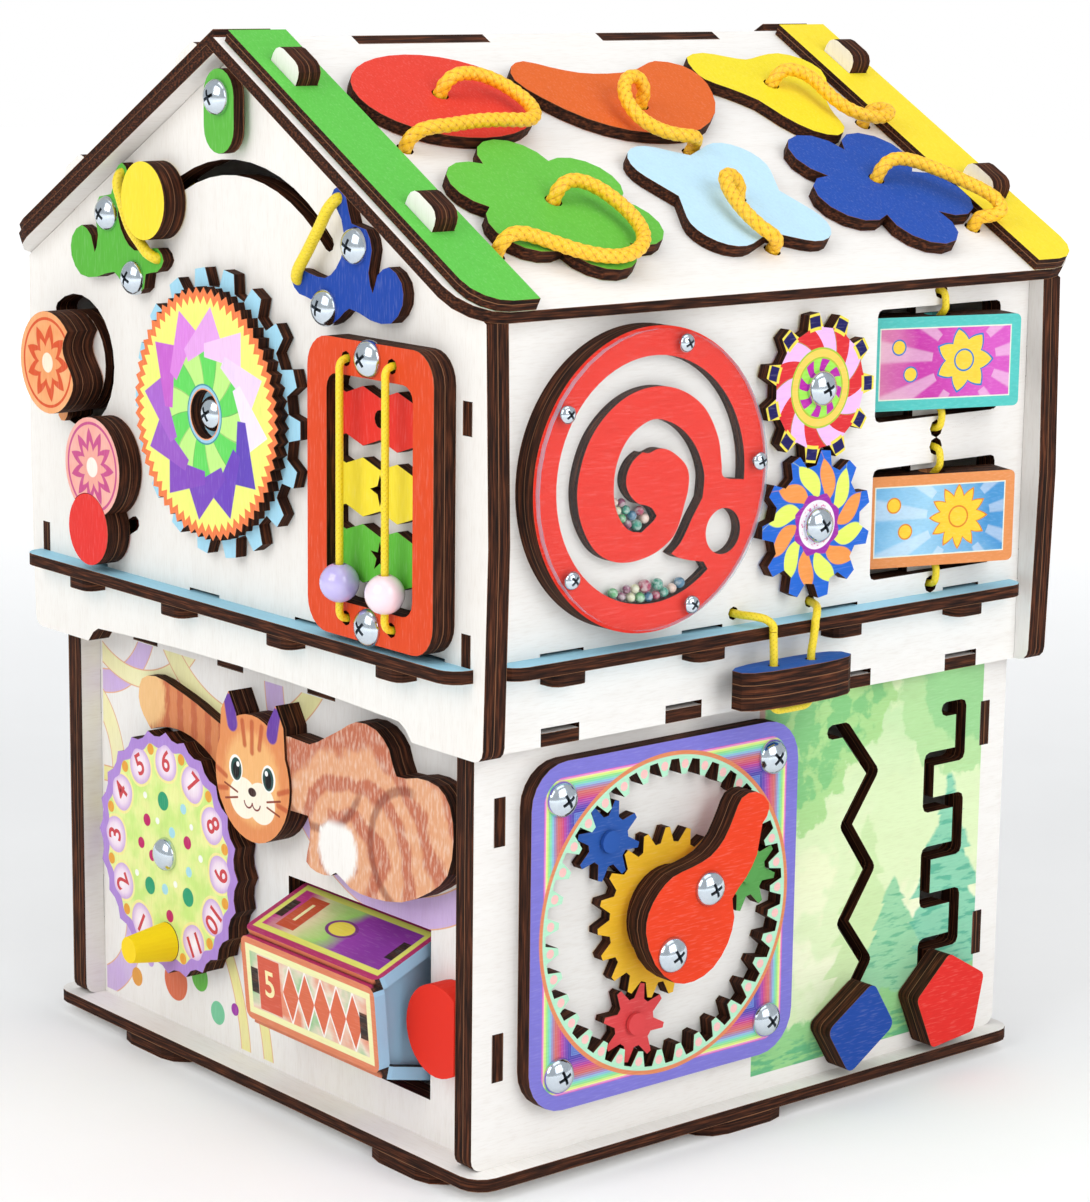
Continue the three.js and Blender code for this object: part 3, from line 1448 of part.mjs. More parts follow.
function flipCord() {
  const out = upperSideFace + flipCordRadius + 3 * fit;
  const inside = upperSideFace - doubleWall - flipCordRadius - 2 * fit;
  const axis = flipAxisReach;
  const [a, b, c, d] = flipCordHoleHeights;
  const bend = flipCordBend;
  const edge = (hole, way) => [
    [inside + 2 * bend, hole],
    [out - bend, hole],
    [out - bend * (1 - cornerShare), hole - way * bend * (1 - cornerShare)],
    [out, hole - way * bend],
    [out, hole - way * (bend + flipCordDrop)],
    [(out + axis) / 2, hole - way * (bend + flipCordDrop + flipCordSlant / 2)],
    [axis, hole - way * (bend + flipCordDrop + flipCordSlant)],
    [axis, hole - way * (bend + flipCordDrop + flipCordSlant + 2 * bend)],
  ];
  const turn = (hole, way) => [
    [inside + bend, hole],
    [inside + bend * cornerShare, hole + way * bend * cornerShare],
    [inside, hole + way * bend],
  ];
  const route = [
    [inside - bend, a],
    ...edge(a, 1),
    ...edge(b, -1).reverse(),
    ...turn(b, -1),
    ...turn(c, 1).reverse(),
    ...edge(c, 1),
    ...edge(d, -1).reverse(),
    [inside - bend, d],
  ];
  return tube(
    route.map(([x, z]) => [x, flipPlace, z]),
    flipCordRadius,
    60,
    8,
  );
}

// Block that hangs under the right shelf
function swingBlock() {
  const h = swingLength / 2;
  const w = swingWidth / 2;
  const plan = swingOutlineShares.map(([along1, across]) => [swingReach + across * w, swingPlace + along1 * h]);
  const holes = [-1, 1].map((side) =>
    circle(swingReach, swingPlace + (side * swingHoleSpacing) / 2, swingCordRadius + fit, 12),
  );
  return slab(level, plan, swingBottom, swingBottom + swingThickness, holes);
}

// The loop's ends are round, so that they turn under the fixed runs.
function swingLoop() {
  const ends = [swingLoopRoute[0], swingLoopRoute[swingLoopRoute.length - 1]];
  const balls = ends.map((end) => wasm.Manifold.sphere(swingCordRadius, 8).translate(end));
  return join(tube(swingLoopRoute, swingCordRadius, 24, 8), ...balls);
}

// Both fixed runs are one cord that passes behind the wall.
function swingAnchor() {
  const inner = upperSideFace - doubleWall - 3 * running;
  const [, y, z] = swingAnchorRoute[0];
  const mate = swingHolePlaces[1][0];
  const side = swingAnchorRoute.slice(1);
  const other = side.map(([px, py, pz]) => [px, mate + (y - py) * swingMateShare, pz]).reverse();
  const route = [
    ...side.slice().reverse(),
    [inner + sheet / 2, y, z],
    [inner - sheet / 2, y + sheet / 2, z],
    [inner - sheet / 2, mate - sheet / 2, z],
    [inner + sheet / 2, mate, z],
    ...other.slice().reverse(),
  ];
  return tube(route, swingCordRadius, 36, 8);
}

// Lower front
function dial() {
  const plan = [];
  const steps = 3 * dialScallops;
  for (let i = 0; i < steps; i += 1) {
    const angle = (360 * i) / steps;
    const wave = (1 + Math.cos(dialScallops * angle * degrees)) / 2;
    plan.push(polar(...dialPlace, dialRadius - dialScallopDepth * (1 - wave), angle));
  }
  const body = slab(frontFrame, plan, running, running + doubleWall, [circle(...dialPlace, boreRadius, 12)]);
  const profile = [[0, -sheet], [coneBaseRadius, -sheet], [coneBaseRadius, 0], [coneTipRadius, coneLength], [0, coneLength]];
  const cone = turnedSolid(frontFrame, polar(...dialPlace, conePlace, -90), running + doubleWall, profile, 24);
  return join(body, cone);
}

function drum() {
  const frame = frameOf([0, 1, 0], [0, 0, 1], [1, 0, 0], [drumPlace[0], -drumAxisReach, drumPlace[1]]);
  const tiles = [];
  for (let i = 0; i < drumSides; i += 1) {
    const angle = (drumRestTurn + (360 * i) / drumSides) * degrees;
    const c = Math.cos(angle);
    const s = Math.sin(angle);
    const tileFrame = frameOf([1, 0, 0], [0, s, -c], [0, c, s], [drumPlace[0], -drumAxisReach, drumPlace[1]]);
    const outline = roundedBox(0, 0, drumTileLength, drumTileWidth, drumTileCorner, 3);
    tiles.push(slab(tileFrame, outline, drumApothem - sheet, drumApothem));
  }
  const plate = circle(0, 0, (drumApothem - sheet / 2) / Math.cos(Math.PI / drumSides), drumSides);
  const facing = turned(plate, 0, 0, drumRestTurn + 180 / drumSides);
  const ends = [-1, 1].map((side) => {
    const from = Math.min(side * drumEndReach, side * (drumEndReach - sheet));
    return slab(frame, facing, from, from + sheet, [circle(0, 0, drumAxleRadius + running, 12)]);
  });
  return join(...tiles, ...ends);
}

function cat() {
  const body = smooth(catBodyOutlineShares, catBodyPlace, catBodyWidth, catBodyHeight);
  const arm = smooth(catArmOutlineShares, catArmPlace, catArmWidth, catArmHeight);
  const head = [];
  const steps = 36;
  for (let i = 0; i < steps; i += 1) {
    const angle = (360 * i * degrees) / steps;
    head.push([
      catHeadPlace[0] + catHeadHalfWidth * Math.cos(angle),
      catHeadPlace[1] + catHeadHalfHeight * Math.sin(angle),
    ]);
  }
  const ears = [-1, 1].map((side) => {
    const at = catHeadPlace[0] + side * catEarReach;
    const tip = at + side * (catEarHalfWidth / 4);
    const plan = [
      [at - catEarHalfWidth, catHeadPlace[1]],
      [at + catEarHalfWidth, catHeadPlace[1]],
      [tip + catEarHalfWidth * catEarShare, (catHeadPlace[1] + 3 * catEarHeight) / 4],
      [tip, catEarHeight],
      [tip - catEarHalfWidth * catEarShare, (catHeadPlace[1] + 3 * catEarHeight) / 4],
    ];
    return slab(frontFrame, plan, 0, catHeadThickness);
  });
  const room = rod(frontFrame, dialPlace, dialRadius + 2 * fit + fit, -overrun, 3 * sheet, 64);
  return cut(
    join(
      slab(frontFrame, body, 0, doubleWall),
      slab(frontFrame, arm, 0, sheet),
      slab(frontFrame, head, 0, catHeadThickness),
      ...ears,
    ),
    room,
  );
}

// Planetary gears on the lower right side: the ring is fixed, the crank turns the sun
function ringGear() {
  const [y, z] = sunPlace;
  const frame = roundedBox(y, z, ringFrameSize, ringFrameSize, ringFrameRadius, 6);
  const teeth = toothed(sunPlace, ringTeeth, ringRadii, ringHalves, ringTurn);
  const screws = [];
  for (const sy of [-1, 1]) {
    for (const sz of [-1, 1]) {
      const place = [y + sy * ringScrewReach, z + sz * ringScrewReach];
      screws.push(dome(lowRightFrame, place, ringFrameThickness));
    }
  }
  return join(slab(lowRightFrame, frame, 0, ringFrameThickness, [teeth]), ...screws);
}

const planetPlaces = planetAngles.map((angle) => polar(...sunPlace, planetOrbit, angle));

function planetCarrier() {
  const disc = rod(lowRightFrame, sunPlace, carrierRadius, -sheet - fit, -fit, 48);
  const top = 2 * fit + sheet + fit;
  const stubs = planetPlaces.map((place) =>
    join(
      rod(lowRightFrame, place, shankRadius, -sheet / 2, top + carrierPinHeadHeight / 2, 12),
      rod(lowRightFrame, place, carrierPinHeadRadius, top, top + carrierPinHeadHeight, 16),
    ),
  );
  const axleHole = rod(lowRightFrame, sunPlace, facePinRadius + running, -doubleWall, overrun);
  return cut(join(disc, ...stubs), axleHole);
}

function planet(index) {
  const angle = planetAngles[index];
  const turn = angle - (ringTeeth * (angle - ringTurn) - 180) / planetTeeth;
  const place = planetPlaces[index];
  const outline = toothed(place, planetTeeth, planetRadii, planetHalves, turn);
  return slab(lowRightFrame, outline, fit, fit + sheet, [circle(...place, shankRadius + 1.5 * fit, 12)]);
}

function crankHandle() {
  const [y, z] = sunPlace;
  const turn = planetAngles[1] + (ringTeeth * (planetAngles[1] - ringTurn)) / sunTeeth;
  const sun = slab(lowRightFrame, toothed(sunPlace, sunTeeth, sunRadii, sunHalves, turn), fit, fit + sheet);
  const back = doubleWall + fit;
  const outline = smooth(crankOutlineShares, [y + crankPlace[0], z + crankPlace[1]], crankWidth, crankHeight);
  const screws = crankScrewPlaces.map(([dy, dz]) => dome(lowRightFrame, [y + dy, z + dz], back + doubleWall));
  return join(
    sun,
    rod(lowRightFrame, sunPlace, crankSpacerRadius, sheet, back, 32),
    rod(lowRightFrame, sunPlace, facePinRadius, -doubleWall - 2 * running, sheet),
    rod(lowRightFrame, sunPlace, innerDiscRadius, -doubleWall - running - sheet / 2, -doubleWall - running),
    slab(lowRightFrame, outline, back, back + doubleWall),
    ...screws,
  );
}

// Two knobs that slide along cut slots
function slideKnob(outline, route) {
  const peg = route[route.length - 1];
  return join(
    slab(lowRightFrame, outline, running, running + slideKnobThickness),
    rod(lowRightFrame, peg, pegRadius, -doubleWall - 2 * running, running, 12),
    rod(lowRightFrame, peg, innerDiscRadius, -doubleWall - running - sheet / 2, -doubleWall - running),
  );
}

function rhombKnob() {
  const outline = roundedBox(...rhombPlace, rhombLength, rhombWidth, rhombCorner, 4);
  return slideKnob(turned(outline, ...rhombPlace, rhombTurn), zigzagRoute);
}

function pentagonKnob() {
  return slideKnob(roundedPolygon(...pentagonPlace, pentagonRadius, pentagonCorner, 5, pentagonTurn), squareRoute);
}

add("base_plate", basePlate(), whitePaint);
add("lower_front_wall", lowerFrontWall(), whitePaint);
add("lower_back_wall", lowerEndWall(backFrame), whitePaint);
add("lower_left_wall", lowerSideWall(lowLeftFrame), whitePaint);
add("lower_right_wall", lowerRightWall(), whitePaint);
add("mid_floor", midFloor(), whitePaint);
add("front_gable", frontGable(), whitePaint);
add("rear_gable", gable(rearFrame), whitePaint);
add("upper_left_wall", upperSideWall(leftFrame), whitePaint);
add("upper_right_wall", upperRightWall(), whitePaint);
add("right_roof_panel", rightRoofPanel(), whitePaint);
add("left_roof_panel", leftRoofPanel(), whitePaint);
add("green_roof_strip", roofStrip(roofFrame, -1, fit), greenPaint);
add("yellow_roof_strip", roofStrip(roofFrame, 1, fit), yellowPaint);
add("front_shelf", frontShelf(), lightBluePaint);
add("right_shelf", rightShelf(), lightBluePaint);
add("green_bumper", bumper(-1, greenCordPlaces), greenPaint);
add("blue_bumper", bumper(1, blueCord), deepBluePaint);
add("bead_frame", beadFrame(), orangePaint);
add("bead_cord", beadCord(), cordYellow, 0.8);
add("labyrinth_board", labyrinthBoard(), redPaint);
add("labyrinth_window", labyrinthWindow(), clearPane, 0.1);
add("ring_gear", ringGear(), lilacPaint);
add("cat", cat(), catPaint);
add("flip_cord", flipCord(), cordYellow, 0.8);
add("apex_tag", apexTag(), greenPaint);
add("yellow_knob", yellowKnob(), yellowPaint);
add("orange_face", orangeFace(), orangePaint);
add("pink_face", pinkFace(), pinkPaint);
add("big_gear", bigGear(), yellowPaint);
add("bead_left", bead(beadStringPlaces[0]), pearlLilac, 0.2);
add("bead_right", bead(beadStringPlaces[1]), pearlPink, 0.2);
add("gear_top", pairGear(pairGearPlaces[0], pairTurns()[0]), yellowPaint);
add("gear_bottom", pairGear(pairGearPlaces[1], pairTurns()[1]), bluePaint);
add("flip_board_top", flipBoard(flipWindowPlaces[0]), skyPaint);
add("flip_board_bottom", flipBoard(flipWindowPlaces[1]), orangePaint);
add("swing_block", swingBlock(), bluePaint);
add("swing_anchor_cord", swingAnchor(), cordYellow, 0.8);
add("swing_loop_cord", swingLoop(), cordYellow, 0.8);
add("dial", dial(), lilacPaint);
add("drum", drum(), pinkPaint);
add("crank_handle", crankHandle(), orangePaint);
add("planet_carrier", planetCarrier(), whitePaint);
add("planet_1", planet(0), bluePaint);
add("planet_2", planet(1), greenPaint);
add("planet_3", planet(2), redPaint);
add("rhomb_knob", rhombKnob(), bluePaint);
add("pentagon_knob", pentagonKnob(), redPaint);
add("oval_shape", ovalShape(), redPaint);
add("bean_shape", outlined(beanOutlineShares, beanPlace, beanLength, beanHeight, beanRopeRoute), orangePaint);
add(
  "knuckle_shape",
  outlined(knuckleOutlineShares, knucklePlace, knuckleLength, knuckleHeight, knuckleRopeRoute),
  yellowPaint,
);
add("cloud_shape", cloudShape(), greenPaint);
add("cross_shape", crossShape(), lightBluePaint);
add("star_shape", starShape(), bluePaint);
add("oval_rope", rope(ovalRopeRoute), cordYellow, 0.85);
add("bean_rope", rope(beanRopeRoute), cordYellow, 0.85);
add("knuckle_rope", rope(knuckleRopeRoute), cordYellow, 0.85);
add("cloud_rope", rope(cloudRopeRoute), cordYellow, 0.85);
add("cross_rope", rope(crossRopeRoute), cordYellow, 0.85);
add("star_rope", rope(starRopeRoute), cordYellow, 0.85);

root.position.set(-middleAcross, -middleAlong, 0);

export default root;
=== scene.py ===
"""Looks of the busy board house: painted and printed plywood, screws, ropes, beads and a clear window."""

import logging
import math
from collections.abc import Callable, Sequence
from dataclasses import dataclass, field
from enum import Enum

import bpy
from mathutils import Matrix, Vector


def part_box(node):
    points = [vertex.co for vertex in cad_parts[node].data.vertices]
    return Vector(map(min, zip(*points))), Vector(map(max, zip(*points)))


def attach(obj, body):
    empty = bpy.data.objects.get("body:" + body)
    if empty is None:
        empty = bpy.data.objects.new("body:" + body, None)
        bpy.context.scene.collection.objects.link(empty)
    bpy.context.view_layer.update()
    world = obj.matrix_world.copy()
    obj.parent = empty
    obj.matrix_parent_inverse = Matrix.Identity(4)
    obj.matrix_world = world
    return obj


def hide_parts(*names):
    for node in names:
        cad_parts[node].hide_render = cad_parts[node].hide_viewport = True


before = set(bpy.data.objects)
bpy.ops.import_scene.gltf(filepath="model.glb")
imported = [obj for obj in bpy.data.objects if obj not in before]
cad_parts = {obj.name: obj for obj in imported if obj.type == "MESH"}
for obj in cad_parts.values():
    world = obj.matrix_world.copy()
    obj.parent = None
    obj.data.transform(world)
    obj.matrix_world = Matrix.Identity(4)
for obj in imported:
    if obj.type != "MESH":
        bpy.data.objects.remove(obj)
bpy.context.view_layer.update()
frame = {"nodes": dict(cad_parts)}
LOG = logging.getLogger("busy_board_house")

Pair = tuple[float, float]
Point = tuple[float, float, float]
Colour = tuple[float, float, float, float]
Socket = bpy.types.NodeSocket

# Sizes are in millimetres. Places are measured from the house's own middle on the rest plane.
MIDDLE = (3.0, -4.35, 0.0)
SHEET = 4.2
CLEAR = 0.4
RIDGE = 352.8
SLOPE = math.radians(30)
GABLE_FACE = -124.4
LOWER_FRONT = -110.3
UPPER_SIDE = 121.0
LOWER_SIDE = 115.7
SHELF_UNDERSIDE = 170.7
FLIP_AXIS = (119.8, 73.0)
FLIP_TURN = math.radians(17)
FRONTWARD = (0.0, -1.0, 0.0)
RIGHTWARD = (1.0, 0.0, 0.0)


def metres(place: Sequence[float]) -> Point:
    """Returns a place of the frame, in metres.

    Args:
        place: Millimetres from the house's own middle, where every size here is measured from.

    Returns:
        The place, from the frame's origin under the whole part's middle.
    """
    return tuple((c - m) / 1000 for c, m in zip(place, MIDDLE))


def paint(code: int) -> Colour:
    """Turns a 24-bit screen colour into a linear one.

    Args:
        code: The colour as 0xRRGGBB.

    Returns:
        The linear colour with full alpha.
    """
    shares = [((code >> shift) & 255) / 255 for shift in (16, 8, 0)]
    linear = [s / 12.92 if s <= 0.04045 else ((s + 0.055) / 1.055) ** 2.4 for s in shares]
    return (*linear, 1.0)


WHITE = paint(0xF3F0EC)
SKY = paint(0xA6DCF2)
LILAC = paint(0xC9A6E2)
CORAL = paint(0xDE7350)
BURNT = paint(0x1B0E09)
BURNT_WARM = paint(0x6A3A22)
GLUE_LINE = paint(0xB07B55)
BURNT_STOPS = [(0.4, BURNT), (0.56, paint(0x3D2013)), (0.74, BURNT_WARM)]
BLACK = paint(0x000000)
PURE_WHITE = paint(0xFFFFFF)


class Face(Enum):
    """Which way a board's broad faces look."""

    FRONT = (0.0, 1.0, 0.0)
    SIDE = (1.0, 0.0, 0.0)
    LEVEL = (0.0, 0.0, 1.0)
    ROOF = (math.sin(SLOPE), 0.0, math.cos(SLOPE))
    FAR_ROOF = (-math.sin(SLOPE), 0.0, math.cos(SLOPE))


class Recess(Enum):
    """How far the cutter of the cross is lifted off a screw's head, in millimetres."""

    CROSS = 0.0
    PLAIN = 9.0


class Value:
    """One socket of a material's tree, with Python's operators as Math nodes."""

    def __init__(self, shade: "Shade", socket: Socket) -> None:
        """Keeps the tree's owner and the socket."""
        self.shade = shade
        self.socket = socket

    def __add__(self, other: "Value | float") -> "Value":
        """Returns the sum."""
        return self.shade.math("ADD", self, other)

    __radd__ = __add__

    def __sub__(self, other: "Value | float") -> "Value":
        """Returns the difference."""
        return self.shade.math("SUBTRACT", self, other)

    def __rsub__(self, other: float) -> "Value":
        """Returns a number less this one."""
        return self.shade.math("SUBTRACT", other, self)

    def __mul__(self, other: "Value | float") -> "Value":
        """Returns the product."""
        return self.shade.math("MULTIPLY", self, other)

    __rmul__ = __mul__

    def __truediv__(self, other: "Value | float") -> "Value":
        """Returns the quotient."""
        return self.shade.math("DIVIDE", self, other)

    def __abs__(self) -> "Value":
        """Returns the size without its sign."""
        return self.shade.math("ABSOLUTE", self)

    def wrap(self, span: float) -> "Value":
        """Returns the value wrapped into 0 to span."""
        return self.shade.math("FLOORED_MODULO", self, span)

    def most(self, other: "Value | float") -> "Value":
        """Returns the larger of two."""
        return self.shade.math("MAXIMUM", self, other)

    def least(self, other: "Value | float") -> "Value":
        """Returns the smaller of two."""
        return self.shade.math("MINIMUM", self, other)

    def over(self, edge: "Value | float", soft: float = 0.12) -> "Value":
        """Returns 1 where the value is above the edge and 0 below, with a soft change."""
        return self.shade.step(self - edge, soft)

    def under(self, edge: "Value | float", soft: float = 0.12) -> "Value":
        """Returns 1 where the value is below the edge."""
        return self.shade.step(edge - self, soft)

    def within(self, low: float, high: float, soft: float = 0.12) -> "Value":
        """Returns 1 between two edges."""
        return self.over(low, soft) * self.under(high, soft)


class Shade:
    """A material whose colour is worked out from the surface's own place in millimetres."""

    def __init__(self, name: str) -> None:
        """Starts an empty node tree under a name."""
        self.material = bpy.data.materials.new(name)
        self.material.use_nodes = True
        self.tree = self.material.node_tree
        self.tree.nodes.clear()
        self._parts: tuple[Value, Value, Value] | None = None
        place = self.tree.nodes.new("ShaderNodeTexCoord")
        self.normal = Value(self, place.outputs["Normal"])
        scaled = {0: Value(self, place.outputs["Object"]), 1: (1000.0, 1000.0, 1000.0), 2: MIDDLE}
        self.place = self.node("ShaderNodeVectorMath", {"operation": "MULTIPLY_ADD"}, scaled)

    def node(
        self, kind: str, settings: dict | None = None, inputs: dict | None = None, output: int | str = 0
    ) -> Value:
        """Adds one node.

        Args:
            kind: The node's type.
            settings: Its settings; "stops" fills a colour ramp.
            inputs: Values or links of its sockets, by name or number.
            output: The socket that is returned.

        Returns:
            The chosen output.
        """
        made = self.tree.nodes.new(kind)
        for key, value in (settings or {}).items():
            if key == "stops":
                ramp = made.color_ramp.elements
                while len(ramp) < len(value):
                    ramp.new(1.0)
                for element, (position, colour) in zip(ramp, value):
                    element.position = position
                    element.color = colour
            elif key == "ramp":
                made.color_ramp.interpolation = value
            else:
                setattr(made, key, value)
        for key, value in (inputs or {}).items():
            if isinstance(value, Value):
                self.tree.links.new(value.socket, made.inputs[key])
            else:
                made.inputs[key].default_value = value
        return Value(self, made.outputs[output])

    def math(self, operation: str, *values: "Value | float") -> Value:
        """Adds one Math node."""
        return self.node("ShaderNodeMath", {"operation": operation}, dict(enumerate(values)))

    def step(self, value: Value, soft: float) -> Value:
        """Turns a signed distance into a mask with a soft edge."""
        inputs = {"Value": value, "From Min": -soft, "From Max": soft}
        return self.node("ShaderNodeMapRange", {"interpolation_type": "SMOOTHSTEP"}, inputs)

    def dot(self, vector: Value, way: Point) -> Value:
        """Returns how far a vector reaches along a direction."""
        return self.node("ShaderNodeVectorMath", {"operation": "DOT_PRODUCT"}, {0: vector, 1: way}, "Value")

    def xyz(self) -> tuple[Value, Value, Value]:
        """Returns the place's three numbers in millimetres."""
        if self._parts is None:
            parts = self.node("ShaderNodeSeparateXYZ", {}, {0: self.place})
            made = parts.socket.node.outputs
            self._parts = (Value(self, made[0]), Value(self, made[1]), Value(self, made[2]))
        return self._parts

    def mix(self, below: "Value | Colour", above: "Value | Colour", share: "Value | float") -> Value:
        """Lays one colour over another by a share."""
        return self.node("ShaderNodeMix", {"data_type": "RGBA"}, {0: share, 6: below, 7: above}, 2)

    def noise(self, stretch: Point, detail: float = 3.0, seed: float = 0.0) -> Value:
        """Returns noise of 0 to 1 whose cells are one over stretch millimetres long."""
        put = {"operation": "MULTIPLY"}
        vector = self.node("ShaderNodeVectorMath", put, {0: self.place, 1: stretch})
        inputs = {"Vector": vector, "W": seed, "Scale": 1.0, "Detail": detail}
        return self.node("ShaderNodeTexNoise", {"noise_dimensions": "4D"}, inputs, 0)

    def layers(self, base: "Value | Colour", *tops: tuple["Value | Colour", Value]) -> "Value | Colour":
        """Lays masked colours over a base, one after another."""
        for colour, mask in tops:
            base = self.mix(base, colour, mask)
        return base

    def ramp(self, value: Value, stops: Sequence[tuple[float, Colour]], hard: bool = False) -> Value:
        """Turns a value of 0 to 1 into a colour."""
        settings = {"stops": stops, "ramp": "CONSTANT" if hard else "LINEAR"}
        return self.node("ShaderNodeValToRGB", settings, {0: value})

    def length(self, u: Value, v: Value) -> Value:
        """Returns the length of a step of u and v."""
        return self.math("SQRT", u * u + v * v)

    def away(self, u: Value, v: Value, at: Pair) -> Value:
        """Returns the distance from a point of a face."""
        return self.length(u - at[0], v - at[1])

    def bearing(self, u: Value, v: Value, at: Pair) -> Value:
        """Returns the angle round a point of a face, in turns of 0 to 1."""
        return (self.math("ARCTAN2", v - at[1], u - at[0]) / math.tau).wrap(1.0)

    def line(self, u: Value, v: Value, a: Pair, b: Pair) -> Value:
        """Returns the distance from a straight stroke between two points."""
        du, dv = b[0] - a[0], b[1] - a[1]
        length = math.hypot(du, dv)
        wu, wv = du / length, dv / length
        pu, pv = u - a[0], v - a[1]
        along = (pu * wu + pv * wv).most(0.0).least(length)
        return self.length(pu - along * wu, pv - along * wv)

    def oval(self, u: Value, v: Value, at: Pair, size: Pair) -> Value:
        """Returns 1 inside an oval.

        Args:
            u: The first number of the place on the face.
            v: The second.
            at: The oval's middle.
            size: Its half width and half height.

        Returns:
            The mask.
        """
        reached = self.length((u - at[0]) / size[0], (v - at[1]) / size[1])
        return reached.under(1.0, 0.15 / min(size))

    def finish(
        self,
        colour: "Value | Colour",
        roughness: "Value | float",
        bump: Value | None = None,
        depth: float = 0.0,
        **uniform: float | Colour,
    ) -> bpy.types.Material:
        """Closes the tree with one surface shader.

        Args:
            colour: The base colour.
            roughness: The roughness.
            bump: A height of 0 to 1, if the surface has relief.
            depth: How deep that relief is, in metres.
            uniform: Other sockets of the shader, the same all over.

        Returns:
            The material.
        """
        inputs = {"Base Color": colour, "Roughness": roughness}
        inputs.update({key.replace("_", " "): value for key, value in uniform.items()})
        if bump is not None:
            relief = {"Strength": 0.7, "Distance": depth, "Height": bump}
            inputs["Normal"] = self.node("ShaderNodeBump", {}, relief)
        surface = self.node("ShaderNodeBsdfPrincipled", {}, inputs)
        end = self.tree.nodes.new("ShaderNodeOutputMaterial")
        self.tree.links.new(surface.socket, end.inputs["Surface"])
        return self.material


Artwork = Callable[[Shade], "Value | Colour"]
Overlay = Callable[[Shade], list[tuple["Value | Colour", Value]]]


@dataclass(frozen=True)
class Plywood:
    """Painted birch plywood whose cut edges are burnt by the laser."""

    name: str
    face: Face
    seam: float = 0.0
    colour: Colour = WHITE
    along: Point = (1.0, 1.0, 0.05)
    sheet: float = SHEET

    def edge(self, shade: Shade) -> Value:
        """Returns the burnt edge's colour: streaks along the plies, a lighter core ply and a line of glue."""
        way = self.face.value
        depth = ((shade.dot(shade.place, way) - self.seam) / self.sheet).wrap(1.0)
        stretch = tuple(0.09 + 1.7 * abs(w) for w in way)
        streak = shade.noise(stretch, 5.0, 3.0)
        core = depth.within(0.34, 0.66, 0.05) * 0.34
        wood = shade.ramp(streak + core * 0.22, BURNT_STOPS)
        seam = abs(depth - 0.5).over(0.47, 0.012)
        return shade.mix(wood, GLUE_LINE, seam * 0.55)

    def coat(self, shade: Shade, colour: "Value | Colour") -> Value:
        """Returns a paint with the wood's fibres showing through it."""
        fine = tuple(0.12 + 1.6 * a for a in self.along)
        fibre = shade.noise(fine, 4.0)
        broad = shade.noise(tuple(0.03 + 0.25 * a for a in self.along), 2.0, 7.0)
        dark = fibre.under(0.42, 0.12) * 0.11 + broad.under(0.46, 0.12) * 0.05
        light = fibre.over(0.6, 0.08) * 0.05
        blend = {"data_type": "RGBA", "blend_type": "MULTIPLY"}
        shaded = shade.node("ShaderNodeMix", blend, {0: dark, 6: colour, 7: paint(0xC9B8A6)}, 2)
        return shade.mix(shaded, paint(0xFFFBF2), light)

    def material(self, artwork: Artwork | None = None, overlay: Overlay | None = None) -> bpy.types.Material:
        """Builds the finish.

        Args:
            artwork: Gives the faces' colour where it isn't plain paint.
            overlay: Gives parts that are neither face nor edge, as colours with masks.

        Returns:
            The material.
        """
        shade = Shade(self.name)
        broad = abs(shade.dot(shade.normal, self.face.value)).over(0.75, 0.03)
        colour = self.coat(shade, artwork(shade) if artwork else self.colour)
        colour = shade.mix(self.edge(shade), colour, broad)
        tops = overlay(shade) if overlay else []
        colour = shade.layers(colour, *tops)
        relief = shade.noise(tuple(0.15 + 1.4 * a for a in self.along), 3.0, 1.0)
        return shade.finish(colour, 0.72 - 0.2 * broad, relief, 0.00005, Specular_IOR_Level=0.14)


@dataclass(frozen=True)
class TurnedPlywood(Plywood):
    """Plywood of a board that rests turned about the upright flip axis."""

    def edge(self, shade: Shade) -> Value:
        """Returns the burnt edge with its plies across the turned board."""
        way = (math.cos(FLIP_TURN), -math.sin(FLIP_TURN), 0.0)
        depth = ((shade.dot(shade.place, way) - self.seam) / self.sheet).wrap(1.0)
        streak = shade.noise((1.5, 0.3, 0.1), 5.0, 3.0)
        wood = shade.ramp(streak, BURNT_STOPS)
        return shade.mix(wood, GLUE_LINE, abs(depth - 0.5).over(0.47, 0.012) * 0.55)


UPRIGHT = (1.0, 1.0, 0.05)
SIDEWAYS = (1.0, 0.05, 1.0)
CROSSWISE = (0.05, 1.0, 1.0)


def dress(node: str, material: bpy.types.Material) -> None:
    """Gives a CAD node one finish in all its slots."""
    data = frame["nodes"][node].data
    if not data.materials:
        data.materials.append(material)
    for index in range(len(data.materials)):
        data.materials[index] = material
    LOG.info("dressed %s", node)


def placed(name: str, data: bpy.types.ID) -> bpy.types.Object:
    """Puts a mesh, curve, camera or lamp into the scene and returns its object."""
    made = bpy.data.objects.new(name, data)
    bpy.context.scene.collection.objects.link(made)
    return made


def evaluated(holder: bpy.types.Object) -> bpy.types.Mesh:
    """Returns a plain mesh of what an object comes to, and removes the object."""
    graph = bpy.context.evaluated_depsgraph_get()
    data = bpy.data.meshes.new_from_object(holder.evaluated_get(graph))
    bpy.data.objects.remove(holder)
    return data


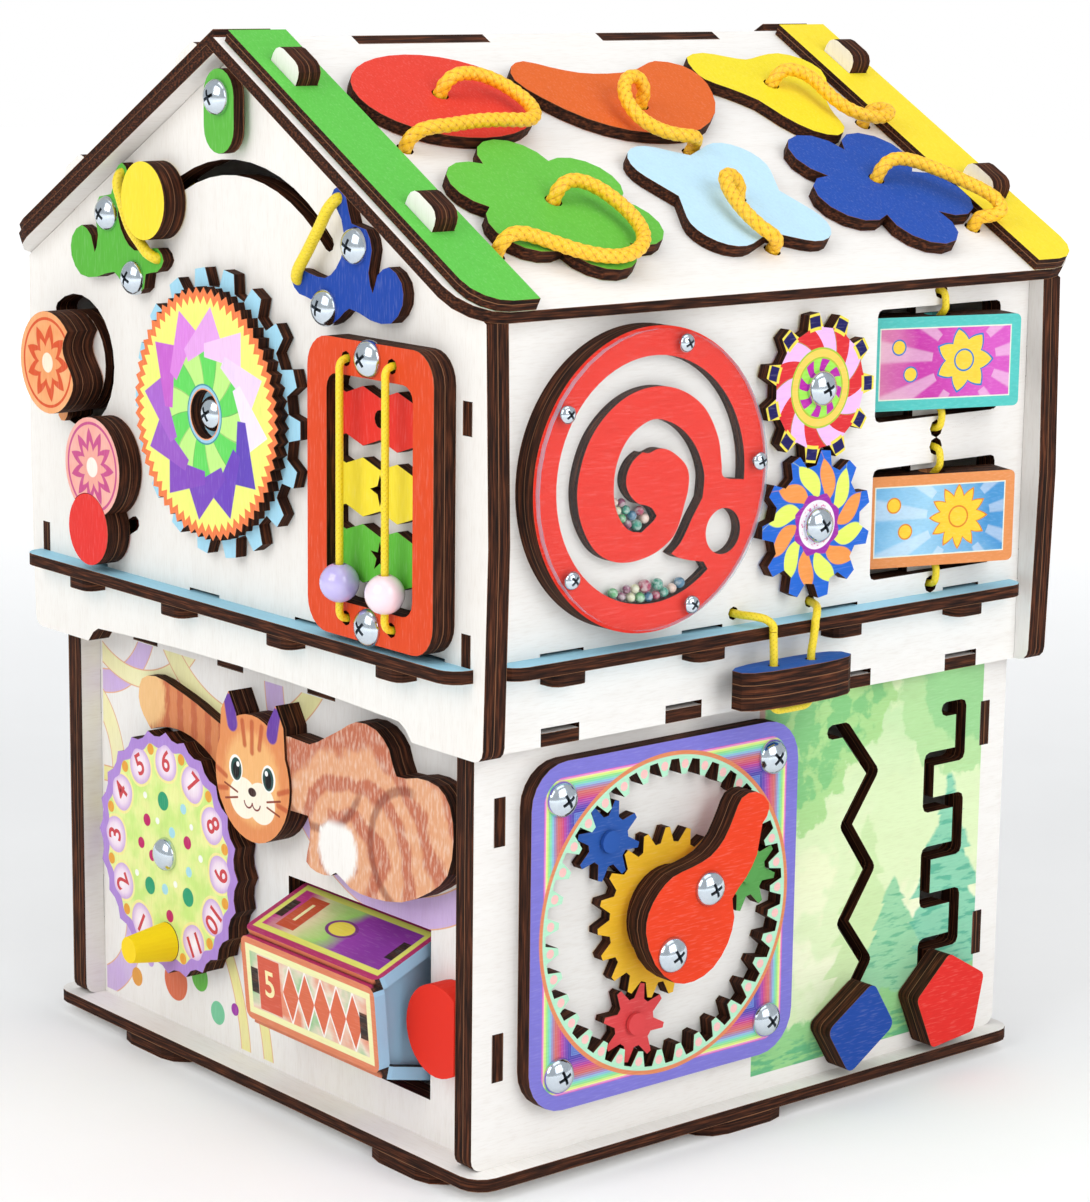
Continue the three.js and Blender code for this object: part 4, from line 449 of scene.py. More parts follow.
class Recipe:
    """A Geometry Nodes tree with named sizes that turns points or lines into a plain mesh."""

    def __init__(self, name: str, **sizes: float) -> None:
        """Starts a tree whose inputs are the sizes."""
        self.tree = bpy.data.node_groups.new(name, "GeometryNodeTree")
        face = self.tree.interface
        face.new_socket("Geometry", in_out="INPUT", socket_type="NodeSocketGeometry")
        face.new_socket("Geometry", in_out="OUTPUT", socket_type="NodeSocketGeometry")
        kinds = {**dict.fromkeys(sizes, "NodeSocketFloat"), "finish": "NodeSocketMaterial"}
        self.names = {
            key: face.new_socket(key, in_out="INPUT", socket_type=kind) for key, kind in kinds.items()
        }
        self.sizes = sizes
        self.start = self.tree.nodes.new("NodeGroupInput")
        self.end = self.tree.nodes.new("NodeGroupOutput")

    def __getitem__(self, key: str) -> Socket:
        """Returns a size's socket."""
        return self.start.outputs[key]

    def node(
        self, kind: str, settings: dict | None = None, inputs: dict | None = None
    ) -> bpy.types.NodeOutputs:
        """Adds one node and returns its outputs.

        Args:
            kind: The node's type.
            settings: Its settings.
            inputs: Values or sockets by name or number.

        Returns:
            The node's outputs.
        """
        made = self.tree.nodes.new(kind)
        for key, value in (settings or {}).items():
            setattr(made, key, value)
        for key, value in (inputs or {}).items():
            if isinstance(value, Socket):
                self.tree.links.new(value, made.inputs[key])
            else:
                made.inputs[key].default_value = value
        return made.outputs

    def math(self, operation: str, *values: "Socket | float") -> Socket:
        """Adds one Math node."""
        return self.node("ShaderNodeMath", {"operation": operation}, dict(enumerate(values)))[0]

    def attribute(self, name: str, kind: str = "FLOAT") -> Socket:
        """Reads a named attribute."""
        made = self.node("GeometryNodeInputNamedAttribute", {"data_type": kind}, {"Name": name})
        return next(socket for socket in made if socket.enabled)

    def vector(self, x: "Socket | float", y: "Socket | float", z: "Socket | float") -> Socket:
        """Joins three numbers into a vector."""
        return self.node("ShaderNodeCombineXYZ", {}, {0: x, 1: y, 2: z})[0]

    def capture(self, geometry: Socket, value: Socket) -> tuple[Socket, Socket]:
        """Captures a number on each point and returns the geometry with it."""
        made = self.tree.nodes.new("GeometryNodeCaptureAttribute")
        made.domain = "POINT"
        made.capture_items.new("FLOAT", "kept")
        self.tree.links.new(geometry, made.inputs[0])
        self.tree.links.new(value, made.inputs[1])
        return made.outputs[0], made.outputs[1]

    def store(self, geometry: Socket, name: str, value: Socket) -> Socket:
        """Keeps a number on each point under a name that a material can read."""
        kept = {"Geometry": geometry, "Name": name, "Value": value}
        kind = {"data_type": "FLOAT", "domain": "POINT"}
        return self.node("GeometryNodeStoreNamedAttribute", kind, kept)[0]

    def close(self, geometry: Socket) -> None:
        """Ends the tree in real geometry with its finish."""
        real = self.node("GeometryNodeRealizeInstances", {}, {0: geometry})[0]
        done = self.node("GeometryNodeSetMaterial", {}, {"Geometry": real, "Material": self["finish"]})[0]
        self.tree.links.new(done, self.end.inputs[0])

    def make(
        self, name: str, seed: bpy.types.Mesh, finish: bpy.types.Material, **sizes: float
    ) -> bpy.types.Object:
        """Grows a plain mesh from a seed mesh.

        Args:
            name: The new object's name.
            seed: Points or edges, in metres.
            finish: Its material.
            sizes: Sizes that differ from the tree's own.

        Returns:
            The new object.
        """
        holder = placed(name + "_seed", seed)
        modifier = holder.modifiers.new("grow", "NODES")
        modifier.node_group = self.tree
        for key, value in {**self.sizes, **sizes}.items():
            modifier[self.names[key].identifier] = value
        modifier[self.names["finish"].identifier] = finish
        data = evaluated(holder)
        data.name = name
        LOG.info("made %s with %d faces", name, len(data.polygons))
        return placed(name, data)


def seed_points(name: str, points: Sequence[Point], **values: Sequence) -> bpy.types.Mesh:
    """Makes a mesh of loose points with attributes.

    Args:
        name: The mesh's name.
        points: Places in millimetres.
        values: One number, vector or colour for each point.

    Returns:
        The mesh, in metres.
    """
    data = bpy.data.meshes.new(name)
    data.from_pydata([metres(p) for p in points], [], [])
    for key, several in values.items():
        if isinstance(several[0], (int, float)):
            data.attributes.new(key, "FLOAT", "POINT").data.foreach_set("value", list(several))
        elif len(several[0]) == 3:
            flat = [c for one in several for c in one]
            data.attributes.new(key, "FLOAT_VECTOR", "POINT").data.foreach_set("vector", flat)
        else:
            flat = [c for one in several for c in one]
            data.attributes.new(key, "FLOAT_COLOR", "POINT").data.foreach_set("color", flat)
    return data


def seed_line(name: str, points: Sequence[Point]) -> bpy.types.Mesh:
    """Makes a mesh of one open line, from points in millimetres."""
    data = bpy.data.meshes.new(name)
    data.from_pydata([metres(p) for p in points], [(i, i + 1) for i in range(len(points) - 1)], [])
    return data


def flowing(points: Sequence[Point], steps: int = 10) -> list[Point]:
    """Runs a smooth line through points.

    Args:
        points: The points that it passes.
        steps: How many pieces each stretch is cut into.

    Returns:
        The points of the smooth line.
    """
    knots = [Vector(p) for p in points]
    ends = [2 * knots[0] - knots[1], *knots, 2 * knots[-1] - knots[-2]]
    line: list[Point] = []
    for p0, p1, p2, p3 in zip(ends, ends[1:], ends[2:], ends[3:]):
        t0 = 0.0
        t1 = t0 + max((p1 - p0).length, 1e-6) ** 0.5
        t2 = t1 + max((p2 - p1).length, 1e-6) ** 0.5
        t3 = t2 + max((p3 - p2).length, 1e-6) ** 0.5
        for i in range(steps):
            t = t1 + (t2 - t1) * i / steps
            a1 = p0.lerp(p1, (t - t0) / (t1 - t0))
            a2 = p1.lerp(p2, (t - t1) / (t2 - t1))
            a3 = p2.lerp(p3, (t - t2) / (t3 - t2))
            b1 = a1.lerp(a2, (t - t0) / (t2 - t0))
            b2 = a2.lerp(a3, (t - t1) / (t3 - t1))
            line.append(tuple(b1.lerp(b2, (t - t1) / (t2 - t1))))
    line.append(tuple(knots[-1]))
    return line


def ray(length: float, angle: float) -> Pair:
    """Returns the point at a distance and an angle in degrees from the origin."""
    return (length * math.cos(math.radians(angle)), length * math.sin(math.radians(angle)))


Shift = Callable[[Vector], Sequence[float]]


def joined(name: str, filled: Sequence[tuple[bpy.types.Curve, Shift]]) -> bpy.types.Object:
    """Joins filled curves into one mesh.

    Args:
        name: The new object's name.
        filled: Each curve with what turns its points into places, in metres.

    Returns:
        The new object.
    """
    points: list[Point] = []
    faces: list[tuple[int, ...]] = []
    for curve, shift in filled:
        made = evaluated(placed(name, curve))
        start = len(points)
        points += [tuple(shift(v.co)) for v in made.vertices]
        faces += [tuple(start + i for i in p.vertices) for p in made.polygons]
        bpy.data.meshes.remove(made)
    data = bpy.data.meshes.new(name)
    data.from_pydata(points, [], faces)
    LOG.info("joined %s", name)
    return placed(name, data)


def plates(name: str, layers: Sequence[tuple[Sequence[Sequence[Pair]], float, float]]) -> bpy.types.Object:
    """Cuts boards that stand across the x axis.

    Args:
        name: The new object's name.
        layers: Each board's outline and holes, as along and up, and its two faces' x, in millimetres.

    Returns:
        The new object.
    """
    filled = []
    for outlines, rear, front in layers:
        curve = bpy.data.curves.new(name, "CURVE")
        curve.dimensions, curve.fill_mode, curve.extrude = "2D", "BOTH", (front - rear) / 2
        for outline in outlines:
            spline = curve.splines.new("POLY")
            spline.points.add(len(outline) - 1)
            for point, (y, z) in zip(spline.points, outline):
                point.co = (y, z, 0.0, 1.0)
            spline.use_cyclic_u = True
        middle = (rear + front) / 2
        filled.append((curve, lambda at, middle=middle: metres((middle + at.z, at.x, at.y))))
    return joined(name, filled)


@dataclass(frozen=True)
class Chrome:
    """Bright plated steel."""

    name: str = "Chromed steel"
    roughness: float = 0.13

    def material(self) -> bpy.types.Material:
        """Builds the finish: faint rubbing, and painted shade in the cross recess."""
        shade = Shade(self.name)
        rub = shade.noise((0.9, 0.9, 0.9), 3.0)
        # Painted shade: where the sunk mask is 1, inside the cross recess, the chrome is darkened to near
        # black.
        sunk = shade.node("ShaderNodeAttribute", {"attribute_name": "sunk"}, {}, "Fac")
        colour = shade.mix(shade.mix(paint(0xC3CFDA), paint(0xDCE5EC), rub), paint(0x141E2A), sunk * 0.92)
        return shade.finish(colour, self.roughness + 0.06 * rub + 0.3 * sunk, Metallic=1.0)


@dataclass(frozen=True)
class Braid:
    """Braided polypropylene cord."""

    name: str
    colour: Colour
    # The colour of the painted shade between the strands.
    deep: Colour

    def material(self) -> bpy.types.Material:
        """Builds the finish: painted shade between the strands, and fine filaments on them whose pale colour
        on the strand crowns is a painted sheen.
        """
        shade = Shade(self.name)
        height = shade.node("ShaderNodeAttribute", {"attribute_name": "strand"}, {}, "Fac")
        fine = shade.noise((2.6, 2.6, 2.6), 3.0)
        # Painted shade: the colour goes to deep where the strand height is low, in the grooves between the
        # strands.
        body = shade.mix(self.deep, self.colour, height.over(0.3, 0.3))
        # Painted sheen: pale filament flecks, only on the strand crowns.
        body = shade.mix(body, paint(0xFFF3B0), fine.over(0.6, 0.08) * height * 0.35)
        return shade.finish(body, 0.42, fine, 0.00008, Specular_IOR_Level=0.5)


@dataclass(frozen=True)
class Pearl:
    """Glossy pearl-coated plastic."""

    name: str
    colour: Colour
    glow: Colour

    def material(self) -> bpy.types.Material:
        """Builds the finish, with a faint swirl."""
        shade = Shade(self.name)
        swirl = shade.noise((0.25, 0.25, 0.25), 3.0)
        colour = shade.mix(self.colour, self.glow, swirl)
        return shade.finish(colour, 0.16, Coat_Weight=0.8, Coat_Roughness=0.06)


class Screws:
    """Screw heads: a chromed dome with a cross recess."""

    def __init__(self) -> None:
        """Builds the tree of a head set on points."""
        self.chrome = Chrome().material()
        tree = Recipe("Screw head", radius=5.9, height=3.9, arm=5.0, width=1.05, depth=0.85, lift=0.0)
        self.recipe = tree
        size = tree.vector(tree["radius"], tree["radius"], tree["height"])
        ball = tree.node("GeometryNodeMeshUVSphere", {}, {"Segments": 40, "Rings": 24, "Radius": 1.0})[0]
        ball = tree.node("GeometryNodeTransform", {}, {"Geometry": ball, "Scale": size})[0]
        wide = tree.math("MULTIPLY", tree["radius"], 3.0)
        under = tree.node("GeometryNodeMeshCube", {}, {"Size": tree.vector(wide, wide, wide)})[0]
        drop = tree.vector(0.0, 0.0, tree.math("MULTIPLY", wide, -0.5))
        under = tree.node("GeometryNodeTransform", {}, {"Geometry": under, "Translation": drop})[0]
        deep = tree.math("MULTIPLY", tree["depth"], 2.0)
        slot = tree.vector(tree["arm"], tree["width"], deep)
        bar = tree.node("GeometryNodeMeshCube", {}, {"Size": slot})[0]
        top = tree.math("ADD", tree["height"], tree["lift"])
        rise = tree.vector(0.0, 0.0, top)
        bars = []
        for turn in (0.0, math.pi / 2):
            turned = {"Geometry": bar, "Translation": rise, "Rotation": (0.0, 0.0, turn)}
            bars.append(tree.node("GeometryNodeTransform", {}, turned)[0])
        pit_size = {"Vertices": 20, "Radius Top": tree.math("MULTIPLY", tree["width"], 1.25),
                    "Radius Bottom": tree.math("MULTIPLY", tree["width"], 0.5), "Depth": deep}
        pit = tree.node("GeometryNodeMeshCone", {}, pit_size)[0]
        dip = tree.vector(0.0, 0.0, tree.math("SUBTRACT", top, tree["depth"]))
        pit = tree.node("GeometryNodeTransform", {}, {"Geometry": pit, "Translation": dip})[0]
        # The first cutter should take off the ball's rear half, but that half stays, inside the board.
        head = ball
        for cutter in (under, *bars, pit):
            pair = {0: head, 1: cutter}
            head = tree.node("GeometryNodeMeshBoolean", {"operation": "DIFFERENCE"}, pair)[0]
        # Keeps the mask of the painted shade in the cross recess under the name sunk.
        head = tree.store(head, "sunk", self._under_dome(tree, size))
        facing = {"Vector": tree.attribute("facing", "FLOAT_VECTOR")}
        face = tree.node("FunctionNodeAlignRotationToVector", {"axis": "Z"}, facing)[0]
        axis = {"Axis": (0.0, 0.0, 1.0), "Angle": tree.attribute("turn")}
        spin = tree.node("FunctionNodeAxisAngleToRotation", {}, axis)[0]
        turn = tree.node("FunctionNodeRotateRotation", {"rotation_space": "LOCAL"}, {0: face, 1: spin})[0]
        set_on = {"Points": tree.start.outputs[0], "Instance": head, "Rotation": turn, "Scale": (0.001,) * 3}
        tree.close(tree.node("GeometryNodeInstanceOnPoints", {}, set_on)[0])

    def _under_dome(self, tree: Recipe, size: Socket) -> Socket:
        """Returns 1 where a point of a head lies well inside the dome and 0 on it: the mask of the painted
        shade in the cross recess.

        Args:
            tree: The head's tree.
            size: The dome's half sizes.

        Returns:
            The number, for each point.
        """
        place = tree.node("GeometryNodeInputPosition")[0]
        share = tree.node("ShaderNodeVectorMath", {"operation": "DIVIDE"}, {0: place, 1: size})[0]
        length = tree.node("ShaderNodeVectorMath", {"operation": "LENGTH"}, {0: share})["Value"]
        span = {"Value": length, "From Min": 0.985, "From Max": 0.93}
        return tree.node("ShaderNodeMapRange", {}, span)[0]

    def drive(
        self,
        name: str,
        body: str,
        places: Sequence[Point],
        facing: Point,
        recess: Recess = Recess.CROSS,
        **sizes: float,
    ) -> bpy.types.Object:
        """Sets heads on places and lets them ride a body.

        Args:
            name: The new object's name.
            body: The body that it moves with.
            places: The seats, in millimetres.
            facing: The way the heads look.
            recess: Whether they have a cross.
            sizes: Sizes that differ from the large screw's, in millimetres.

        Returns:
            The new object.
        """
        turns = [0.4 + 1.7 * i for i in range(len(places))]
        seed = seed_points(name, places, facing=[facing] * len(places), turn=turns)
        made = self.recipe.make(name, seed, self.chrome, lift=recess.value, **sizes)
        smooth_by_angle(made)
        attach(made, body)
        return made


def smooth_by_angle(made: bpy.types.Object, limit: float = 35.0) -> None:
    """Shades a mesh smooth, apart from its sharp edges."""
    data = made.data
    data.polygons.foreach_set("use_smooth", [True] * len(data.polygons))
    data.set_sharp_from_angle(angle=math.radians(limit))


class Cords:
    """Braided ropes and smooth elastics that follow a line."""

    def __init__(self) -> None:
        """Builds the tree of a braided tube."""
        tree = Recipe("Braided cord", radius=0.0024, pitch=0.0033, relief=0.00042, step=0.0004)
        self.recipe = tree
        # The second colour of each braid is its painted shade between the strands.
        self.golden = Braid("Golden braided rope", paint(0xFFC414), paint(0xC47600)).material()
        self.elastic = Braid("Yellow elastic", paint(0xF6D91C), paint(0xD3B008)).material()
        curve = tree.node("GeometryNodeMeshToCurve", {}, {0: tree.start.outputs[0]})[0]
        cut = {"Curve": curve, "Length": tree["step"]}
        curve = tree.node("GeometryNodeResampleCurve", {"mode": "LENGTH"}, cut)[0]
        length = tree.node("GeometryNodeSplineParameter")["Length"]
        share = tree.node("GeometryNodeSplineParameter")["Factor"]
        curve, run = tree.capture(curve, length)
        outline = {"Resolution": 24, "Radius": tree["radius"]}
        outline = tree.node("GeometryNodeCurvePrimitiveCircle", {"mode": "RADIUS"}, outline)[0]
        outline, round_share = tree.capture(outline, share)
        tube = {"Curve": curve, "Profile Curve": outline, "Fill Caps": True}
        tube = tree.node("GeometryNodeCurveToMesh", {}, tube)[0]
        lay = tree.math("DIVIDE", run, tree["pitch"])
        turns = tree.math("MULTIPLY", round_share, 4.0)
        right = self._ridge(tree, tree.math("ADD", lay, turns))
        left = self._ridge(tree, tree.math("SUBTRACT", lay, turns))
        strand = tree.math("POWER", tree.math("MULTIPLY", right, left), 0.45)
        sunk = tree.math("MULTIPLY", tree.math("SUBTRACT", strand, 1.0), tree["relief"])
        normal = tree.node("GeometryNodeInputNormal")[0]
        offset = tree.node("ShaderNodeVectorMath", {"operation": "SCALE"}, {0: normal, 3: sunk})[0]
        shaped = tree.node("GeometryNodeSetPosition", {}, {"Geometry": tube, "Offset": offset})[0]
        kept = tree.store(shaped, "strand", strand)
        tree.close(tree.node("GeometryNodeSetShadeSmooth", {}, {0: kept})[0])

    def _ridge(self, tree: Recipe, phase: Socket) -> Socket:
        """Returns a ridge for each half turn of a phase."""
        return tree.math("ABSOLUTE", tree.math("SINE", tree.math("MULTIPLY", phase, math.pi)))

    def lay(
        self, name: str, points: Sequence[Point], finish: bpy.types.Material, **sizes: float
    ) -> bpy.types.Object:
        """Makes one cord along a line of points in millimetres."""
        return self.recipe.make(name, seed_line(name, points), finish, **sizes)


@dataclass
class Shell:
    """The base, walls, floor and shelves, with the two printed lower walls."""

    ribbons: list[tuple[float, float, float, float, Colour]] = field(
        default_factory=lambda: [
            (-108.0, 158.0, 30.0, 38.0, LILAC), (-84.0, 176.0, 44.0, 50.0, paint(0xF6F0B0)),
            (-20.0, 180.0, 52.0, 60.0, paint(0xF3EC9E)), (-128.0, 92.0, 28.0, 36.0, paint(0xF6F0B0)),
            (66.0, 148.0, 62.0, 72.0, LILAC), (-96.0, 2.0, 76.0, 81.0, paint(0xF3EA8A)),
            (-98.0, -4.0, 92.0, 97.0, paint(0xF3EA8A)), (-116.0, 40.0, 24.0, 34.0, LILAC),
        ]
    )
    dots: list[tuple[float, float, float, Colour]] = field(
        default_factory=lambda: [
            (-61.0, 24.0, 7.2, CORAL), (-46.0, 29.0, 5.0, paint(0x6CC04E)),
            (-35.0, 19.0, 4.2, paint(0x7CCBA0)), (-24.5, 23.0, 2.2, paint(0xA23CA8)),
            (-86.0, 19.0, 3.4, paint(0xE8A24C)), (-77.0, 27.0, 2.0, LILAC),
        ]
    )

    def ribbon_print(self, shade: Shade) -> Value:
        """Returns the lower front wall's print: outlined ribbons and loose dots."""
        x, y, z = shade.xyz()
        colour: Value | Colour = WHITE
        for cx, cz, inner, outer, tint in self.ribbons:
            r = shade.away(x, z, (cx, cz))
            colour = shade.mix(colour, paint(0xE9B48C), r.within(inner - 0.45, outer + 0.45))
            wash = shade.noise((0.08, 0.08, 0.08), 2.0, cx) * 0.4
            colour = shade.mix(colour, shade.mix(tint, WHITE, wash), r.within(inner, outer))
        for cx, cz, radius, tint in self.dots:
            colour = shade.mix(colour, tint, shade.away(x, z, (cx, cz)).under(radius))
        inside = x.within(-106.0, 104.0) * z.within(10.0, 142.0)
        return shade.mix(WHITE, colour, inside * y.under(LOWER_FRONT + 0.2))

    def cap(self, shade: Shade) -> list[tuple[Colour, Value]]:
        """Returns the red of the round end cap on the lower front wall."""
        x, y, z = shade.xyz()
        proud = y.under(LOWER_FRONT - 0.3)
        return [(paint(0xE4301F), shade.away(x, z, (98.0, 50.0)).under(15.6) * proud)]

    def conifer(self, shade: Shade, leafy: Value, tip: Pair, size: Pair) -> Value:
        """Returns 1 inside a plain tiered tree.

        Args:
            shade: The material's tree.
            leafy: Noise that frays its edge.
            tip: Where its tip is on the wall.
            size: Its half width at the foot and its height.

        Returns:
            The mask.
        """
        _, y, z = shade.xyz()
        drop = tip[1] - z
        tier = (drop / (size[1] / 6.0)).wrap(1.0)
        half = drop * (size[0] / size[1]) * (0.62 + 0.38 * tier) + leafy * 9.0 - 3.6
        return (half - abs(y - tip[0])).over(0.0, 0.9) * drop.within(0.0, size[1], 0.8)

    def foliage_print(self, shade: Shade) -> Value:
        """Returns the lower right wall's print: plain trees and grass in pale washes."""
        x, y, z = shade.xyz()
        broad = shade.noise((0.0, 0.03, 0.03), 3.0, 2.0)
        leafy = shade.noise((0.0, 0.12, 0.12), 5.0, 5.0)
        needles = shade.noise((0.0, 0.1, 0.5), 4.0, 8.0)
        sky = shade.ramp(z / 150.0 + broad * 0.2, [
            (0.15, paint(0xC7E8B4)), (0.4, paint(0xF3F8D6)), (0.62, paint(0xEFF6CC)), (0.95, paint(0xC9E8B2)),
        ])
        crowns = shade.away(y, z, (16.0, 124.0)).least(shade.away(y, z, (38.0, 140.0)) + 4.0) - leafy * 26.0
        far_crown = shade.away(y, z, (100.0, 138.0)) - leafy * 24.0
        pale_tree = self.conifer(shade, leafy, (52.0, 96.0), (22.0, 66.0))
        tall_tree = self.conifer(shade, leafy, (92.0, 104.0), (34.0, 84.0))
        low_tree = self.conifer(shade, leafy, (66.0, 72.0), (30.0, 54.0))
        trunk = abs(y - 2.0 + (z - 70.0) * 0.035 + leafy * 3.0)
        hill = z - 22.0 - leafy * 16.0 - (y - 50.0) * 0.06
        colour = shade.layers(
            sky,
            (paint(0xDDF0BE), (broad + leafy * 0.3).over(0.62, 0.04) * 0.8),
            (paint(0xB7E0A0), far_crown.under(22.0, 1.2)),
            (paint(0x93D08E), far_crown.under(11.0, 1.5) * 0.8),
            (paint(0xAEDC92), crowns.under(15.0, 1.2)),
            (paint(0x82C882), (crowns.under(9.0, 1.5) * leafy.over(0.47, 0.04)) * 0.9),
            (paint(0xCDE8AC), pale_tree * 0.9),
            (paint(0x8ED2B0), tall_tree),
            (paint(0x4FAE90), tall_tree * needles.over(0.55, 0.05) * 0.75),
            (paint(0x9CD6A8), low_tree),
            (paint(0x58B088), low_tree * needles.over(0.57, 0.05) * 0.7),
            (paint(0xDCA9A4), trunk.under(4.6, 0.5) * 0.85),
            (paint(0xC58C84), (trunk.within(3.4, 4.4, 0.3) * z.under(118.0, 6.0)) * 0.8),
            (paint(0x9AD690), hill.under(0.0, 1.0)),
            (paint(0x62B884), (hill.under(-7.0, 1.5) * needles.over(0.5, 0.05)) * 0.85),
        )
        inside = y.within(0.4, 107.0) * z.within(14.0, 143.0) * x.over(115.4)
        return shade.mix(WHITE, colour, inside)

    def dress(self) -> None:
        """Finishes every fixed board of the house."""
        dress("base_plate", Plywood("Base boards", Face.LEVEL, along=CROSSWISE).material())
        floor = Plywood("Floor board", Face.LEVEL, lower_seam("mid_floor", 2), along=CROSSWISE)
        dress("mid_floor", floor.material())
        front = Plywood("Printed front board", Face.FRONT, LOWER_FRONT)
        dress("lower_front_wall", front.material(self.ribbon_print, self.cap))
        dress("lower_back_wall", Plywood("Front boards", Face.FRONT, LOWER_FRONT, along=UPRIGHT).material())
        dress("lower_left_wall", Plywood("Side boards", Face.SIDE, LOWER_SIDE, along=SIDEWAYS).material())
        side = Plywood("Printed side board", Face.SIDE, LOWER_SIDE, along=SIDEWAYS)
        dress("lower_right_wall", side.material(self.foliage_print))
        gable = Plywood("Gable boards", Face.FRONT, GABLE_FACE, paint(0xF4F0EA), along=UPRIGHT)
        dress("front_gable", gable.material())
        dress("rear_gable", Plywood("Rear gable boards", Face.FRONT, -GABLE_FACE, along=UPRIGHT).material())
        upper = Plywood("Upper side boards", Face.SIDE, UPPER_SIDE, along=SIDEWAYS).material()
        for name in ("upper_left_wall", "upper_right_wall"):
            dress(name, upper)
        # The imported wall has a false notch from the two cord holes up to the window. This sliver covers it.
        bridge = [(73.3, 223.3), (75.2, 222.2), (100.4, 230.2), (100.4, 230.8), (75.2, 224.4)]
        bridged = plates("cord_hole_bridge", [([bridge], UPPER_SIDE - 0.4, UPPER_SIDE + 0.02)])
        bridged.data.materials.append(upper)
        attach(bridged, "house")
        shelf = {"face": Face.LEVEL, "seam": SHELF_UNDERSIDE, "colour": SKY}
        dress("front_shelf", Plywood("Front shelf board", along=CROSSWISE, **shelf).material())
        dress("right_shelf", Plywood("Shelf board", along=SIDEWAYS, **shelf).material())


def lower_seam(node: str, axis: int) -> float:
    """Returns where a CAD node starts along an axis, in millimetres."""
    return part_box(node)[0][axis] * 1000


